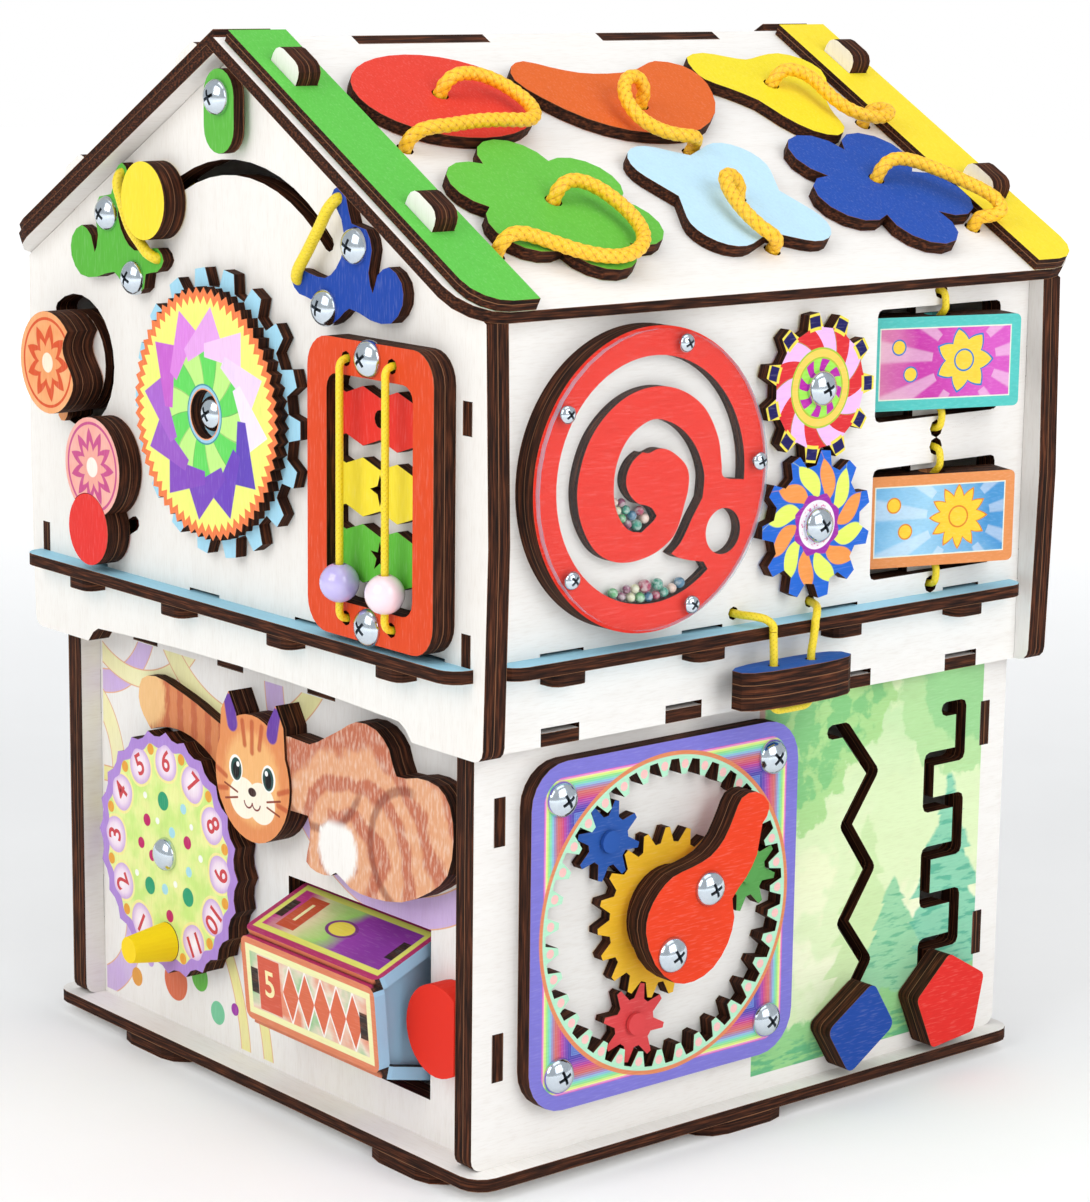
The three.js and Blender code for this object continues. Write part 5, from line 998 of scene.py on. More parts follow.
@dataclass
class Roof:
    """The roof panels, their strips, six painted shapes and their ropes."""

    centres: dict[str, Colour] = field(
        default_factory=lambda: {
            "oval": paint(0xE23E2E), "bean": paint(0xDE6524), "knuckle": paint(0xF0DC28),
            "cloud": paint(0x66BE42), "cross": paint(0xBEE2F6), "star": paint(0x1C4DAC),
        }
    )
    tails: Pair = (-4.2, -28.4)

    def routes(self) -> dict[str, list[Point]]:
        """Returns the ropes' routes: along the house, down the slope and above the roof, in millimetres."""
        return {
            "oval": [
                (-72.7, 42.1, 1), (-72.6, 42, 5), (-71.5, 41.6, 8.6), (-68.4, 41, 10.6), (-63.5, 40.4, 11),
                (-58, 41.4, 10.8), (-53, 44.6, 10.2), (-49.6, 49.6, 9.6), (-48, 55.2, 9.2), (-48.8, 60, 9),
                (-51.6, 63.6, 9), (-56.2, 65, 9.2), (-62.4, 65, 9.4), (-69, 64.8, 9.4), (-75.6, 64.8, 9.2),
                (-81.8, 65.4, 9), (-87.4, 66, 8.8), (-92.6, 66, 8.4), (-97, 65.6, 7), (-99.8, 65.2, 3.6),
                (-100.4, 65.3, 0),
            ],
            "bean": [
                (4.8, 51.5, 1), (4.8, 51.4, 5.5), (4.6, 50.6, 9.4), (3, 48.9, 12.4), (-0.6, 48.2, 13.6),
                (-4.6, 50.2, 13), (-7.6, 54.4, 11.6), (-9, 59.6, 10.4), (-8.6, 65, 9.4), (-6.4, 69.8, 8.8),
                (-2.6, 73.6, 8.6), (2.4, 75.8, 8.6), (6.6, 76.4, 8.4), (9.8, 75.6, 6.8), (11.4, 74.4, 3.8),
                (11.6, 74, 0),
            ],
            "knuckle": [
                (72.9, 41, 1), (73.1, 41, 5), (74.6, 40.8, 8.4), (78, 41, 10.2), (82, 43.6, 10.6),
                (84.4, 48.2, 10.4), (85, 53.6, 10), (85.6, 59, 9.6), (87.6, 64, 9.2), (91.4, 68, 9),
                (96.4, 70, 9), (101.6, 69.6, 9), (105.8, 67, 8.8), (106.4, 63.2, 7.8), (103.8, 61, 5.4),
                (102.6, 61.2, 2.4),
            ],
            "cloud": [
                (-69.1, 102.4, 1), (-69, 102.3, 5), (-67.8, 101.6, 8.4), (-64, 100.6, 10.2),
                (-59.4, 101.4, 10.4), (-55.6, 104.8, 10.2), (-53, 110, 9.8), (-51.6, 116, 9.4),
                (-51.6, 122.2, 9), (-53.4, 128, 8.6), (-57.2, 132.6, 8.2), (-62.6, 135.6, 7.8),
                (-69, 136.6, 7.4), (-75.4, 135.2, 7.2), (-81.4, 132, 7), (-87, 127.8, 7),
                (-92.2, 124.2, 7.2), (-97, 122.4, 7.6), (-101.2, 122.2, 7), (-103.8, 122.6, 4),
                (-104, 122.5, 0),
            ],
            "cross": [
                (5.6, 106, 1), (5.6, 105.8, 5.5), (4.8, 104.2, 8.8), (1.8, 102.8, 11), (-1.8, 104, 11.6),
                (-4, 108.4, 10.8), (-5, 113.8, 10), (-5.4, 118.6, 9.6), (-5.2, 123.6, 9.2), (-3.6, 128, 8.4),
                (-0.6, 130.4, 7.2), (2.4, 130.6, 5), (4, 129.6, 2), (4.2, 129.2, 0),
            ],
            "star": [
                (74.1, 99.7, 1), (74.2, 99.6, 5), (75.4, 99, 8.4), (79, 98.2, 10.6), (83.6, 98.8, 11.4),
                (88.2, 101.2, 11.6), (92.6, 105, 11.6), (96.8, 109.4, 11.6), (100.8, 114.2, 11.6),
                (104.6, 119, 11.4), (107.4, 123.8, 10.6), (107.4, 127.4, 8.8), (104, 127.6, 7),
                (101.4, 125.2, 4.6), (101, 124.6, 0),
            ],
        }

    def on_slope(self, along: float, down: float, above: float) -> Point:
        """Returns a point over the right roof face in the row frame, in millimetres."""
        c, s = math.cos(SLOPE), math.sin(SLOPE)
        return (down * c + above * s, along, RIDGE - down * s + above * c)

    def dress(self) -> None:
        """Finishes the panels, strips and shapes."""
        seam = RIDGE * math.cos(SLOPE)
        dress("right_roof_panel", Plywood("Roof boards", Face.ROOF, seam, along=SIDEWAYS).material())
        dress("left_roof_panel", Plywood("Far roof boards", Face.FAR_ROOF, seam, along=SIDEWAYS).material())
        strip = {"face": Face.ROOF, "seam": seam + 2.5, "along": CROSSWISE}
        dress("green_roof_strip", Plywood("Green roof strip", colour=paint(0x60C14B), **strip).material())
        dress("yellow_roof_strip", Plywood("Yellow roof strip", colour=paint(0xF6DD30), **strip).material())
        for key, colour in self.centres.items():
            board = Plywood(f"Roof shape {key}", Face.ROOF, seam + 0.2, colour, along=CROSSWISE)
            dress(f"{key}_shape", board.material())

    def rope(self, cords: Cords) -> None:
        """Lays a braided rope in place of each plain one."""
        for key, route in self.routes().items():
            y, s, _ = route[-1]
            laid = [self.on_slope(*p) for p in route] + [self.on_slope(y, s, n) for n in self.tails]
            line = flowing(laid)
            made = cords.lay(f"{key}_braided_rope", line, cords.golden)
            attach(made, f"{key}")
            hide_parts(f"{key}_rope")
            path = [metres(p) for p in line]


@dataclass
class GableToys:
    """The tag, arc knob, bumpers, faces, large gear and bead frame on the gable front."""

    gear: Pair = (-6.0, 233.0)
    orange: Pair = (-96.0, 240.5)
    pink: Pair = (-73.5, 207.0)
    red_knob: Pair = (-76.6, 185.2)
    frame: Pair = (81.7, 218.9)
    strings: Pair = (70.0, 93.0)
    kites: int = 12

    def gear_print(self, shade: Shade) -> Value:
        """Returns the large gear's print: a zigzag rim, leaning kites and a ring round the eye."""
        x, y, z = shade.xyz()
        r, turn = shade.away(x, z, self.gear), shade.bearing(x, z, self.gear)
        local = (turn * self.kites - 0.3).wrap(1.0) - 0.5
        first = ((turn * self.kites - 0.3 - local) / self.kites).wrap(1.0)
        far, near = self.kite(shade, r, local), self.kite(shade, r, local + 1.0)
        slice_turn = turn * self.kites + 0.26 - r * 0.028
        leaf = (slice_turn * 0.5).wrap(1.0).over(0.5, 0.02)
        edge = ((slice_turn.wrap(1.0) - 0.5).under(-0.46, 0.03) * r.under(22.0)) * 0.6
        tooth = abs((turn * 60.0).wrap(1.0) - 0.5) * 2.0
        front = shade.layers(
            paint(0xEFF47E),
            (shade.mix(paint(0x66D860), paint(0xC2F088), leaf), r.under(22.0)),
            (paint(0x7C9C60), edge),
            (self.kite_tint(shade, first), far),
            (self.kite_tint(shade, (first - 1.0 / self.kites).wrap(1.0)), near),
            (paint(0xEE7E48), r.over(35.4 + 2.8 * tooth, 0.15)),
            (paint(0x9CCBE2), r.under(9.6)),
            (paint(0x3F8E9E), abs(r - 9.6).under(0.25)),
            (paint(0xF0A070), r.under(8.4)),
        )
        return shade.mix(SKY, front, y.under(GABLE_FACE - SHEET - 0.5))

    def kite(self, shade: Shade, r: Value, local: Value) -> Value:
        """Returns 1 inside one leaning kite.

        Args:
            shade: The material's tree.
            r: The distance from the gear's middle.
            local: How many kites lie between the place and the kite's tip.

        Returns:
            The mask.
        """
        corners = [(35.2, 0.0), (18.6, 13.5), (15.0, 10.9), (19.9, 2.7), (25.8, -6.7)]
        angle = local * (math.tau / self.kites)
        u, v = r * shade.math("COSINE", angle), r * shade.math("SINE", angle)
        inside: Value | float = 1.0
        for (au, av), (bu, bv) in zip(corners, corners[1:] + corners[:1]):
            long = math.hypot(bu - au, bv - av)
            side = (v - av) * ((bu - au) / long) - (u - au) * ((bv - av) / long)
            inside = side.over(0.0, 0.18) * inside
        return inside

    def kite_tint(self, shade: Shade, share: Value) -> Value:
        """Returns a kite's colour, from deep violet round to the palest pink."""
        codes = [
            0xEFD6F4, 0xF0C9EF, 0xE6A6E8, 0xDD87E0, 0xC966CE, 0xAC68CE,
            0x9A5CC4, 0x864FBE, 0x7A4CBC, 0x7048BC, 0x6448B8, 0xF5E6FA,
        ]
        stops = [(i / self.kites, paint(code)) for i, code in enumerate(codes)]
        return shade.ramp(share.wrap(1.0), stops, True)

    def frame_print(self, shade: Shade) -> Value:
        """Returns the bead frame's paint: red, with a red, a yellow and a green waved bar."""
        x, y, z = shade.xyz()
        bars = shade.layers(
            paint(0xE6352A), (paint(0xF8E23A), z.within(209.4, 230.4)), (paint(0x62BC3C), z.under(209.4))
        )
        window = abs(x - self.frame[0]).under(21.5) * abs(z - self.frame[1]).under(34.8)
        return shade.mix(paint(0xDE4A20), bars, window * y.over(-132.4))

    def round_print(self, shade: Shade, at: Pair, stops: list[Colour], petals: int) -> Value:
        """Returns a plain rosette for a round knob.

        Args:
            shade: The material's tree.
            at: The knob's middle.
            stops: Field, petals, second petals and centre.
            petals: How many petals there are.

        Returns:
            The colour.
        """
        x, _, z = shade.xyz()
        r, turn = shade.away(x, z, at), shade.bearing(x, z, at)
        wave = abs((turn * petals).wrap(1.0) - 0.5) * 2.0
        blush = shade.noise((0.12, 0.12, 0.12), 2.0, 4.0)
        field_colour = shade.mix(stops[0], stops[1], blush.over(0.5, 0.2) * 0.5)
        return shade.layers(
            field_colour,
            (stops[2], r.under(8.0 + 5.5 * wave, 0.3)),
            (stops[0], r.under(5.4 + 3.6 * wave, 0.3)),
            (stops[3], r.under(3.4)),
            (stops[2], abs(r - 15.0).under(0.5)),
        )

    def orange_print(self, shade: Shade) -> Value:
        """Returns the orange knob's rosette."""
        tints = [paint(0xEFA066), paint(0xF6C08A), paint(0xD9542A), paint(0xF7E9D2)]
        return self.round_print(shade, self.orange, tints, 9)

    def pink_print(self, shade: Shade) -> Value:
        """Returns the pink knob's rosette and the red knob's paint."""
        x, _, z = shade.xyz()
        tints = [paint(0xEFA89A), paint(0xF6C9BE), paint(0xC9528A), paint(0xF9EDE2)]
        rosette = self.round_print(shade, self.pink, tints, 11)
        return shade.mix(rosette, paint(0xE4322C), shade.away(x, z, self.red_knob).under(12.5))

    def dress(self, screws: Screws, cords: Cords) -> None:
        """Finishes the gable's toys and adds screws, elastics and pearl beads."""
        loose = GABLE_FACE - CLEAR
        dress("apex_tag", Plywood("Green tag", Face.FRONT, -127.2, paint(0x5FB643)).material())
        dress("yellow_knob", Plywood("Yellow knob", Face.FRONT, loose, paint(0xF8DD38)).material())
        dress("green_bumper", Plywood("Green bumper", Face.FRONT, GABLE_FACE, paint(0x5AB43C)).material())
        dress("blue_bumper", Plywood("Blue bumper", Face.FRONT, GABLE_FACE, paint(0x1C46A6)).material())
        dress("big_gear", Plywood("Printed gear", Face.FRONT, loose).material(self.gear_print))
        orange = Plywood("Orange rosette knob", Face.FRONT, loose, sheet=4.0)
        dress("orange_face", orange.material(self.orange_print))
        pink = Plywood("Pink rosette knob", Face.FRONT, loose, sheet=4.45)
        dress("pink_face", pink.material(self.pink_print))
        dress("bead_frame", Plywood("Bead frame", Face.FRONT, GABLE_FACE).material(self.frame_print))
        elastic = {"radius": 0.00125, "pitch": 0.0016, "relief": 0.00008}
        string = cords.lay("bead_string", flowing(self.string(), 6), cords.elastic, **elastic)
        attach(string, "house")
        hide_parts("bead_cord")
        tag_face, gear_face = -131.4, -129.4
        frame_face, bumper_face = GABLE_FACE - 2 * SHEET, GABLE_FACE - SHEET
        places = [(0, tag_face, 334.2), (self.gear[0], gear_face, self.gear[1])]
        places += [(self.frame[0], frame_face, z) for z in (260.0, 177.8)]
        bumper_seats = ((69.3, 292.7), (53.8, 272.7))
        places += [(side * x, bumper_face, z) for side in (-1, 1) for x, z in bumper_seats]
        screws.drive("gable_screws", "house", places, FRONTWARD)
        holes = ((60.5, 306.4), (39.6, 280.2))
        bumper = {"radius": 0.0019, "pitch": 0.0016, "relief": 0.00012}
        between = {
            "blue": [(60.5 - 20.9 * k, 306.4 - 26.2 * k) for k in (0.1, 0.35, 0.65, 0.9)],
            "green": [(-60, 303.6), (-57.5, 297.5), (-52.8, 289.6), (-46.5, 284.5), (-42, 281.6)],
        }
        for side, (key, middle) in zip((1, -1), between.items()):
            top, low = ((side * x, z) for x, z in holes)
            route = [(top[0], -127.2, top[1]), (top[0], -128.9, top[1])]
            route += [(x, -130.5, z) for x, z in middle]
            route += [(low[0], -128.9, low[1]), (low[0], -127.2, low[1])]
            made = cords.lay(f"{key}_bumper_elastic", flowing(route), cords.elastic, **bumper)
            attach(made, "house")
        pearls = (
            ("bead_left", self.strings[0], paint(0xB3A4EA), paint(0xD3CBF6)),
            ("bead_right", self.strings[1], paint(0xF5D9E6), paint(0xFDF0F5)),
        )
        for name, x, colour, glow in pearls:
            made = self.bead(name, x)
            made.data.materials.append(Pearl(f"Pearl {name}", colour, glow).material())
            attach(made, name)
            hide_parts(name)

    def string(self) -> list[Point]:
        """Returns the beads' elastic: up the left string, across behind the frame and down the right one."""
        low, high, bend = self.frame[1] - 40.1, self.frame[1] + 40.1, 2.4
        left, right = self.strings
        turn = [(0.0, -5.0), (0.0, 0.0), (0.0, 8.4), (0.8, 10.1), (bend, 10.8), (2 * bend, 10.8)]
        across = [(left + 0.8, high, -10.1), (left + bend, high, -10.8), (right - bend, high, -10.8),
                  (right - 0.8, high, -10.1)]
        route = [(left, low, -9.0)]
        route += [(left, low + up, depth) for up, depth in turn]
        route += [(left, self.frame[1], 10.8)]
        route += [(left, high - up, depth) for up, depth in reversed(turn)]
        route += across
        route += [(right, high - up, depth) for up, depth in turn]
        route += [(right, self.frame[1], 10.8)]
        route += [(right, low + up, depth) for up, depth in reversed(turn)]
        route += [(right, low, -9.0)]
        return [(x, GABLE_FACE - depth, z) for x, z, depth in route]

    def bead(self, name: str, x: float) -> bpy.types.Object:
        """Turns a bored bead on its cord."""
        radius, bore = 6.2, 2.1
        low = math.asin(bore / radius)
        ring = [low + (math.pi - 2 * low) * i / 20 for i in range(21)]
        profile = [(radius * math.sin(a), radius * math.cos(a)) for a in ring]
        profile += [(bore, profile[-1][1] * k) for k in (0.5, -0.5)]
        return lathed(f"{name}_pearl", profile, (x, -135.2, 190.2))


def lathed(name: str, profile: Sequence[Pair], at: Point, sides: int = 40) -> bpy.types.Object:
    """Turns a closed profile round an upright axis.

    Args:
        name: The new object's name.
        profile: Distances from the axis and heights, in millimetres, as a closed loop.
        at: The axis' place.
        sides: How many steps the turn has.

    Returns:
        The new object, smooth, with its faces pointing out.
    """
    count = len(profile)
    points, faces = [], []
    for i in range(sides):
        c, s = math.cos(math.tau * i / sides), math.sin(math.tau * i / sides)
        points += [metres((at[0] + r * c, at[1] + r * s, at[2] + h)) for r, h in profile]
        after = (i + 1) % sides
        faces += [
            (i * count + k, i * count + (k + 1) % count, after * count + (k + 1) % count, after * count + k)
            for k in range(count)
        ]
    data = bpy.data.meshes.new(name)
    data.from_pydata(points, [], faces)
    data.validate()
    made = placed(name, data)
    smooth_by_angle(made, 50.0)
    LOG.info("turned %s", name)
    return made


@dataclass
class SideToys:
    """The maze, meshing gears, turning boards and hanging block on the right side."""

    maze: Pair = (-60.4, 222.7)
    top_gear: Pair = (13.5, 245.0)
    low_gear: Pair = (13.7, 200.7)
    teeth: int = 11

    def maze_print(self, shade: Shade) -> Value:
        """Returns the maze's paint: red walls over a white floor."""
        x, _, _ = shade.xyz()
        return shade.mix(WHITE, paint(0xE4301F), x.over(125.8))

    def top_print(self, shade: Shade) -> Value:
        """Returns the upper gear's print: two pinwheels, a ring and a window on each tooth."""
        _, y, z = shade.xyz()
        r, turn = shade.away(y, z, self.top_gear), shade.bearing(y, z, self.top_gear)
        outer = (turn * 7.0 - r * 0.05).wrap(1.0)
        inner = (turn * 8.0 + r * 0.06).wrap(1.0)
        blades = [(0.0, paint(0xDC3036)), (0.47, paint(0xB58C50)), (0.5, paint(0xEDBCF4))]
        wide = shade.ramp(outer, blades, True)
        small = shade.ramp(inner, [(0.0, paint(0xBC2CAA)), (0.5, paint(0xA2E858))], True)
        local = ((turn * self.teeth + 0.5).wrap(1.0) - 0.5) * (math.tau / self.teeth) * r
        window = abs(local).under(2.3) * r.within(19.7, 23.3)
        return shade.layers(
            wide,
            (paint(0xF2E052), r.over(18.6) * abs(local).under(6.0)),
            (wide, r.under(19.6) * abs(local).over(2.6)),
            (paint(0x1E1A5C), window),
            (paint(0xF8D060), r.under(12.6)),
            (paint(0xA9C93E), abs(r - 12.7).under(0.3)),
            (small, r.under(9.6)),
            (paint(0xA9C93E), abs(r - 9.7).under(0.3)),
        )

    def low_print(self, shade: Shade) -> Value:
        """Returns the lower gear's print: curved leaves on blue round a pale rosette."""
        _, y, z = shade.xyz()
        r, turn = shade.away(y, z, self.low_gear), shade.bearing(y, z, self.low_gear)
        swirl = turn * 12.0 - r * 0.06
        cell = swirl.wrap(1.0)
        pair = (turn * 6.0 - r * 0.03).wrap(1.0)
        leaves = shade.mix(paint(0xE4F46A), paint(0xF19A50), pair.over(0.5, 0.01))
        arch = shade.math("SINE", ((r - 7.0) / 14.5).most(0.0).least(1.0) * math.pi)
        petal = abs((turn * 8.0).wrap(1.0) - 0.5)
        return shade.layers(
            paint(0x2468D2),
            (leaves, abs(cell - 0.5).under(arch * 0.46, 0.03) * r.over(7.0)),
            (paint(0xA030A6), r.under(10.6 - 3.0 * petal)),
            (paint(0xF6F0F6), r.under(8.0)),
            (paint(0xE07AB0), shade.noise((0.0, 0.8, 0.8), 2.0).over(0.58, 0.04) * r.under(7.0)),
        )

    def board_print(self, shade: Shade, middle: float, rim: Colour, field_stops: list[tuple[float, Colour]],
                    motif: Colour, motif_rim: Colour, rays: int) -> Value:
        """Returns a turning board's print: a border and a plain flower on a washed field.

        Args:
            shade: The material's tree.
            middle: The board's height.
            rim: The border's colour.
            field_stops: The field's wash from left to right.
            motif: The flower's colour.
            motif_rim: The flower's outline and centre.
            rays: How many petals the flower has.

        Returns:
            The colour.
        """
        _, _, z = shade.xyz()
        c, s = math.cos(FLIP_TURN), math.sin(FLIP_TURN)
        u = shade.dot(shade.place, (s, c, 0.0)) - (FLIP_AXIS[0] * s + FLIP_AXIS[1] * c)
        v = z - middle
        wash = shade.noise((0.05, 0.05, 0.05), 3.0, 2.0) * 0.35
        ground = shade.ramp((u + 28.0) / 56.0 * 0.7 + wash, field_stops)
        at = (7.0, 0.6)
        r, turn = shade.away(u, v, at), shade.bearing(u, v, at)
        petal = abs((turn * rays).wrap(1.0) - 0.5) * 2.0
        beam = abs((turn * 11.0 + 0.2).wrap(1.0) - 0.5).under(0.2, 0.05) * r.over(12.0)
        small = shade.away((u + 13.0), v, (0.0, -3.5)).least(shade.away(u + 17.5, v, (0.0, 5.5)))
        colour = shade.layers(
            ground,
            (paint(0xFFFFFF), beam * 0.3),
            (motif_rim, r.under(7.4 + 3.8 * petal, 0.2)),
            (motif, r.under(6.8 + 3.6 * petal, 0.2)),
            (motif_rim, r.under(3.8)),
            (motif, r.under(3.2)),
            (motif_rim, small.under(2.7)),
            (motif, small.under(2.2)),
        )
        border = (abs(u) - 28.2).most(abs(v) - 15.4)
        return shade.layers(colour, (paint(0xE9EEDC), border.over(-3.9)), (rim, border.over(-3.5)))

    def upper_print(self, shade: Shade) -> Value:
        """Returns the upper turning board's print."""
        stops = [(0.1, paint(0xEBA6B4)), (0.4, paint(0xC63FA6)), (0.75, paint(0xD45CC0))]
        return self.board_print(shade, 249.0, paint(0x58C4BE), stops, paint(0xF6CF45), paint(0x2C7CC4), 7)

    def lower_print(self, shade: Shade) -> Value:
        """Returns the lower turning board's print."""
        stops = [(0.1, paint(0x5FA8D8)), (0.45, paint(0x9ED0EC)), (0.8, paint(0x4C94CC))]
        return self.board_print(shade, 196.5, paint(0xE29258), stops, paint(0xF8CC3C), paint(0xE0862C), 12)

    def dress(self, screws: Screws, cords: Cords) -> None:
        """Finishes the right side's toys and adds the maze, elastics, screws and glass beads."""
        side = {"face": Face.SIDE, "along": SIDEWAYS}
        maze = self.maze_boards()
        maze.data.materials.append(Plywood("Maze boards", seam=UPPER_SIDE, **side).material(self.maze_print))
        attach(maze, "house")
        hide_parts("labyrinth_board")
        loose = UPPER_SIDE + 2 * CLEAR
        dress("gear_top", Plywood("Pinwheel gear", seam=loose, **side).material(self.top_print))
        dress("gear_bottom", Plywood("Leaf gear", seam=loose, **side).material(self.low_print))
        seam = FLIP_AXIS[0] * math.cos(FLIP_TURN) - FLIP_AXIS[1] * math.sin(FLIP_TURN) - 1.5 * SHEET
        for node, artwork in (("flip_board_top", self.upper_print), ("flip_board_bottom", self.lower_print)):
            dress(node, TurnedPlywood(f"Printed {node}", Face.SIDE, seam, along=SIDEWAYS).material(artwork))
        block = Plywood("Hanging block", Face.LEVEL, 146.0, paint(0x1B5AB0), along=SIDEWAYS, sheet=4.13)
        dress("swing_block", block.material())
        self.elastics(cords)
        pane = Shade("Clear pane")
        rim = abs(pane.dot(pane.normal, Face.SIDE.value)).under(0.5, 0.05)
        tint = pane.mix(paint(0xE9F5FA), paint(0x9CCFE6), rim)
        dress("labyrinth_window", pane.finish(tint, 0.05, Alpha=0.015 + 0.42 * rim, Specular_IOR_Level=0.2))
        rim_places = [ray(43, angle) for angle in (3, 75, 147, 219, 291)]
        small = [(131.35, self.maze[0] + u, self.maze[1] + v) for u, v in rim_places]
        sizes = {"radius": 2.9, "height": 1.9, "arm": 3.4, "width": 0.75, "depth": 0.6}
        screws.drive("maze_screws", "house", small, RIGHTWARD, **sizes)
        screws.drive("pair_screws", "house", [(126.5, *self.top_gear), (126.5, *self.low_gear)], RIGHTWARD)
        self.glass()

    def channel(self) -> list[Pair]:
        """Returns the channel's outline: along the ring, the eye's lobe, the spiral arm and the core.

        Returns:
            A closed line in shares of the maze's radius, right and up from its middle.
        """
        ring = [ray(0.81, -5 + 313 * i / 60) for i in range(61)]
        lobe = [
            [ring[-1], (0.46, -0.584)],
            [(0.46, -0.584), (0.33, -0.56), (0.23, -0.53), (0.175, -0.5)],
            [(0.175, -0.5), (0.25, -0.44), (0.3, -0.37), (0.35, -0.286), (0.385, -0.235), (0.417, -0.19)],
            [(0.417, -0.19), (0.44, -0.156)],
            [(0.44, -0.156), (0.45, -0.08)],
        ]
        inner = [
            (0.45, 0), (0.42, 22), (0.4, 45), (0.394, 67), (0.396, 90), (0.37, 115), (0.352, 135),
            (0.335, 158), (0.33, 180), (0.345, 203), (0.36, 225), (0.362, 240), (0.345, 255),
        ]
        outer = [
            (0.26, 30), (0.3, 12), (0.316, 0), (0.325, -18), (0.34, -35), (0.38, -50), (0.425, -62),
            (0.455, -75), (0.49, -90), (0.55, -110), (0.6, -125), (0.632, -140), (0.64, -160),
            (0.636, -180), (0.62, -205), (0.61, -225), (0.606, -248), (0.607, -270), (0.613, -292),
            (0.62, -315), (0.612, -338), (0.605, -355), (0.62, -363),
        ]
        stretches = lobe + [
            [(0.45, -0.08), *(ray(*p) for p in inner)],
            [ray(*inner[-1]), (-0.02, -0.29), (0.02, -0.262), (0.04, -0.237)],
            [(0.04, -0.237), (0.0, -0.185), (-0.05, -0.16), (-0.12, -0.14), (-0.19, -0.08), (-0.225, -0.01),
             (-0.22, 0.06), (-0.18, 0.13), (-0.13, 0.17), (-0.09, 0.19)],
            [(-0.09, 0.19), (-0.04, 0.18), (0.04, 0.2), (0.12, 0.19), *(ray(*p) for p in outer), ring[0]],
        ]
        line = ring[:-1]
        for stretch in stretches:
            line += flowing(stretch, 8)[:-1]
        return line

    def maze_boards(self) -> bpy.types.Object:
        """Cuts the maze: a round floor under a red board with the channel and the eye's hole."""
        radius, (y, z) = 47.4, self.maze
        rim = [ray(radius, 3 * i) for i in range(120)]
        eye = [(29.8 + u, -18.9 + v) for u, v in (ray(7.3, -7.5 * i) for i in range(48))]
        channel = [(radius * u, radius * v) for u, v in reversed(self.channel())]
        place = [[(y + u, z + v) for u, v in outline] for outline in (rim, channel, eye)]
        return plates("maze_plates", [(place[:1], UPPER_SIDE, 125.2), (place, 125.1, 129.34)])

    def elastics(self, cords: Cords) -> None:
        """Lays the turning boards' cord and the hanging block's two fixed runs and loop."""
        out, inside, bend = 123.1, 110.7, 2.6
        axis, along = FLIP_AXIS
        edge = [(113.0, 0.0), (118.0, 0.0), (out - 0.8, 0.8), (out, bend), (out, 6.0)]
        edge += [(axis, 10.1), (axis, 15.3)]
        turn = [(inside + bend, 0.0), (inside + 0.8, 0.8), (inside, bend)]
        first, second, third, last = 272.5, 226.3, 220.3, 173.6
        route = [(x, first - down) for x, down in edge]
        route += [(x, second + up) for x, up in reversed(edge)]
        route += [(x, second - down) for x, down in turn]
        route += [(x, third + up) for x, up in reversed(turn)]
        route += [(x, third - down) for x, down in edge]
        route += [(x, last + up) for x, up in reversed(edge)]
        drop = [
            (116.0, -17.5, 174.6), (120.0, -17.4, 174.6), (124.0, -16.4, 174.4), (127.6, -14.2, 174.2),
            (130.0, -12.0, 173.5), (131.4, -10.4, 172.0), (131.6, -9.8, 170.8), (131.6, -9.8, 169.5),
        ]
        mate = [(x, 16.3 - (y + 17.5) * 0.974, z) for x, y, z in drop]
        behind = [(112.0, -17.5, 174.6), (109.3, -15.4, 174.6), (109.3, 14.2, 174.6), (112.0, 16.3, 174.6)]
        loop = [
            (131.6, -9.8, 169.4), (131.6, -9.5, 164.6), (131.6, -9.3, 161.0), (131.6, -9.25, 156.0),
            (131.6, -9.25, 147.6), (131.6, -9.0, 145.0), (131.6, -7.2, 143.6), (131.6, -4.0, 143.4),
            (131.6, 2.0, 143.4), (131.6, 5.2, 143.6), (131.6, 7.0, 145.0), (131.6, 7.25, 147.6),
            (131.6, 7.25, 156.0), (131.6, 7.4, 161.0), (131.6, 8.1, 164.6), (131.6, 8.8, 169.4),
        ]
        laid = (
            ("flip_elastic", "flip_cord", "house", [(x, along, z) for x, z in route], 0.00125),
            ("swing_fixed_elastic", "swing_anchor_cord", "house", [*reversed(drop), *behind, *mate], 0.00135),
            ("swing_loop_elastic", "swing_loop_cord", "swing", loop, 0.00135),
        )
        for name, node, body, line, radius in laid:
            sizes = {"radius": radius, "pitch": 0.0016, "relief": 0.00008}
            made = cords.lay(name, flowing(line, 6), cords.elastic, **sizes)
            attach(made, body)
            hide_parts(node)

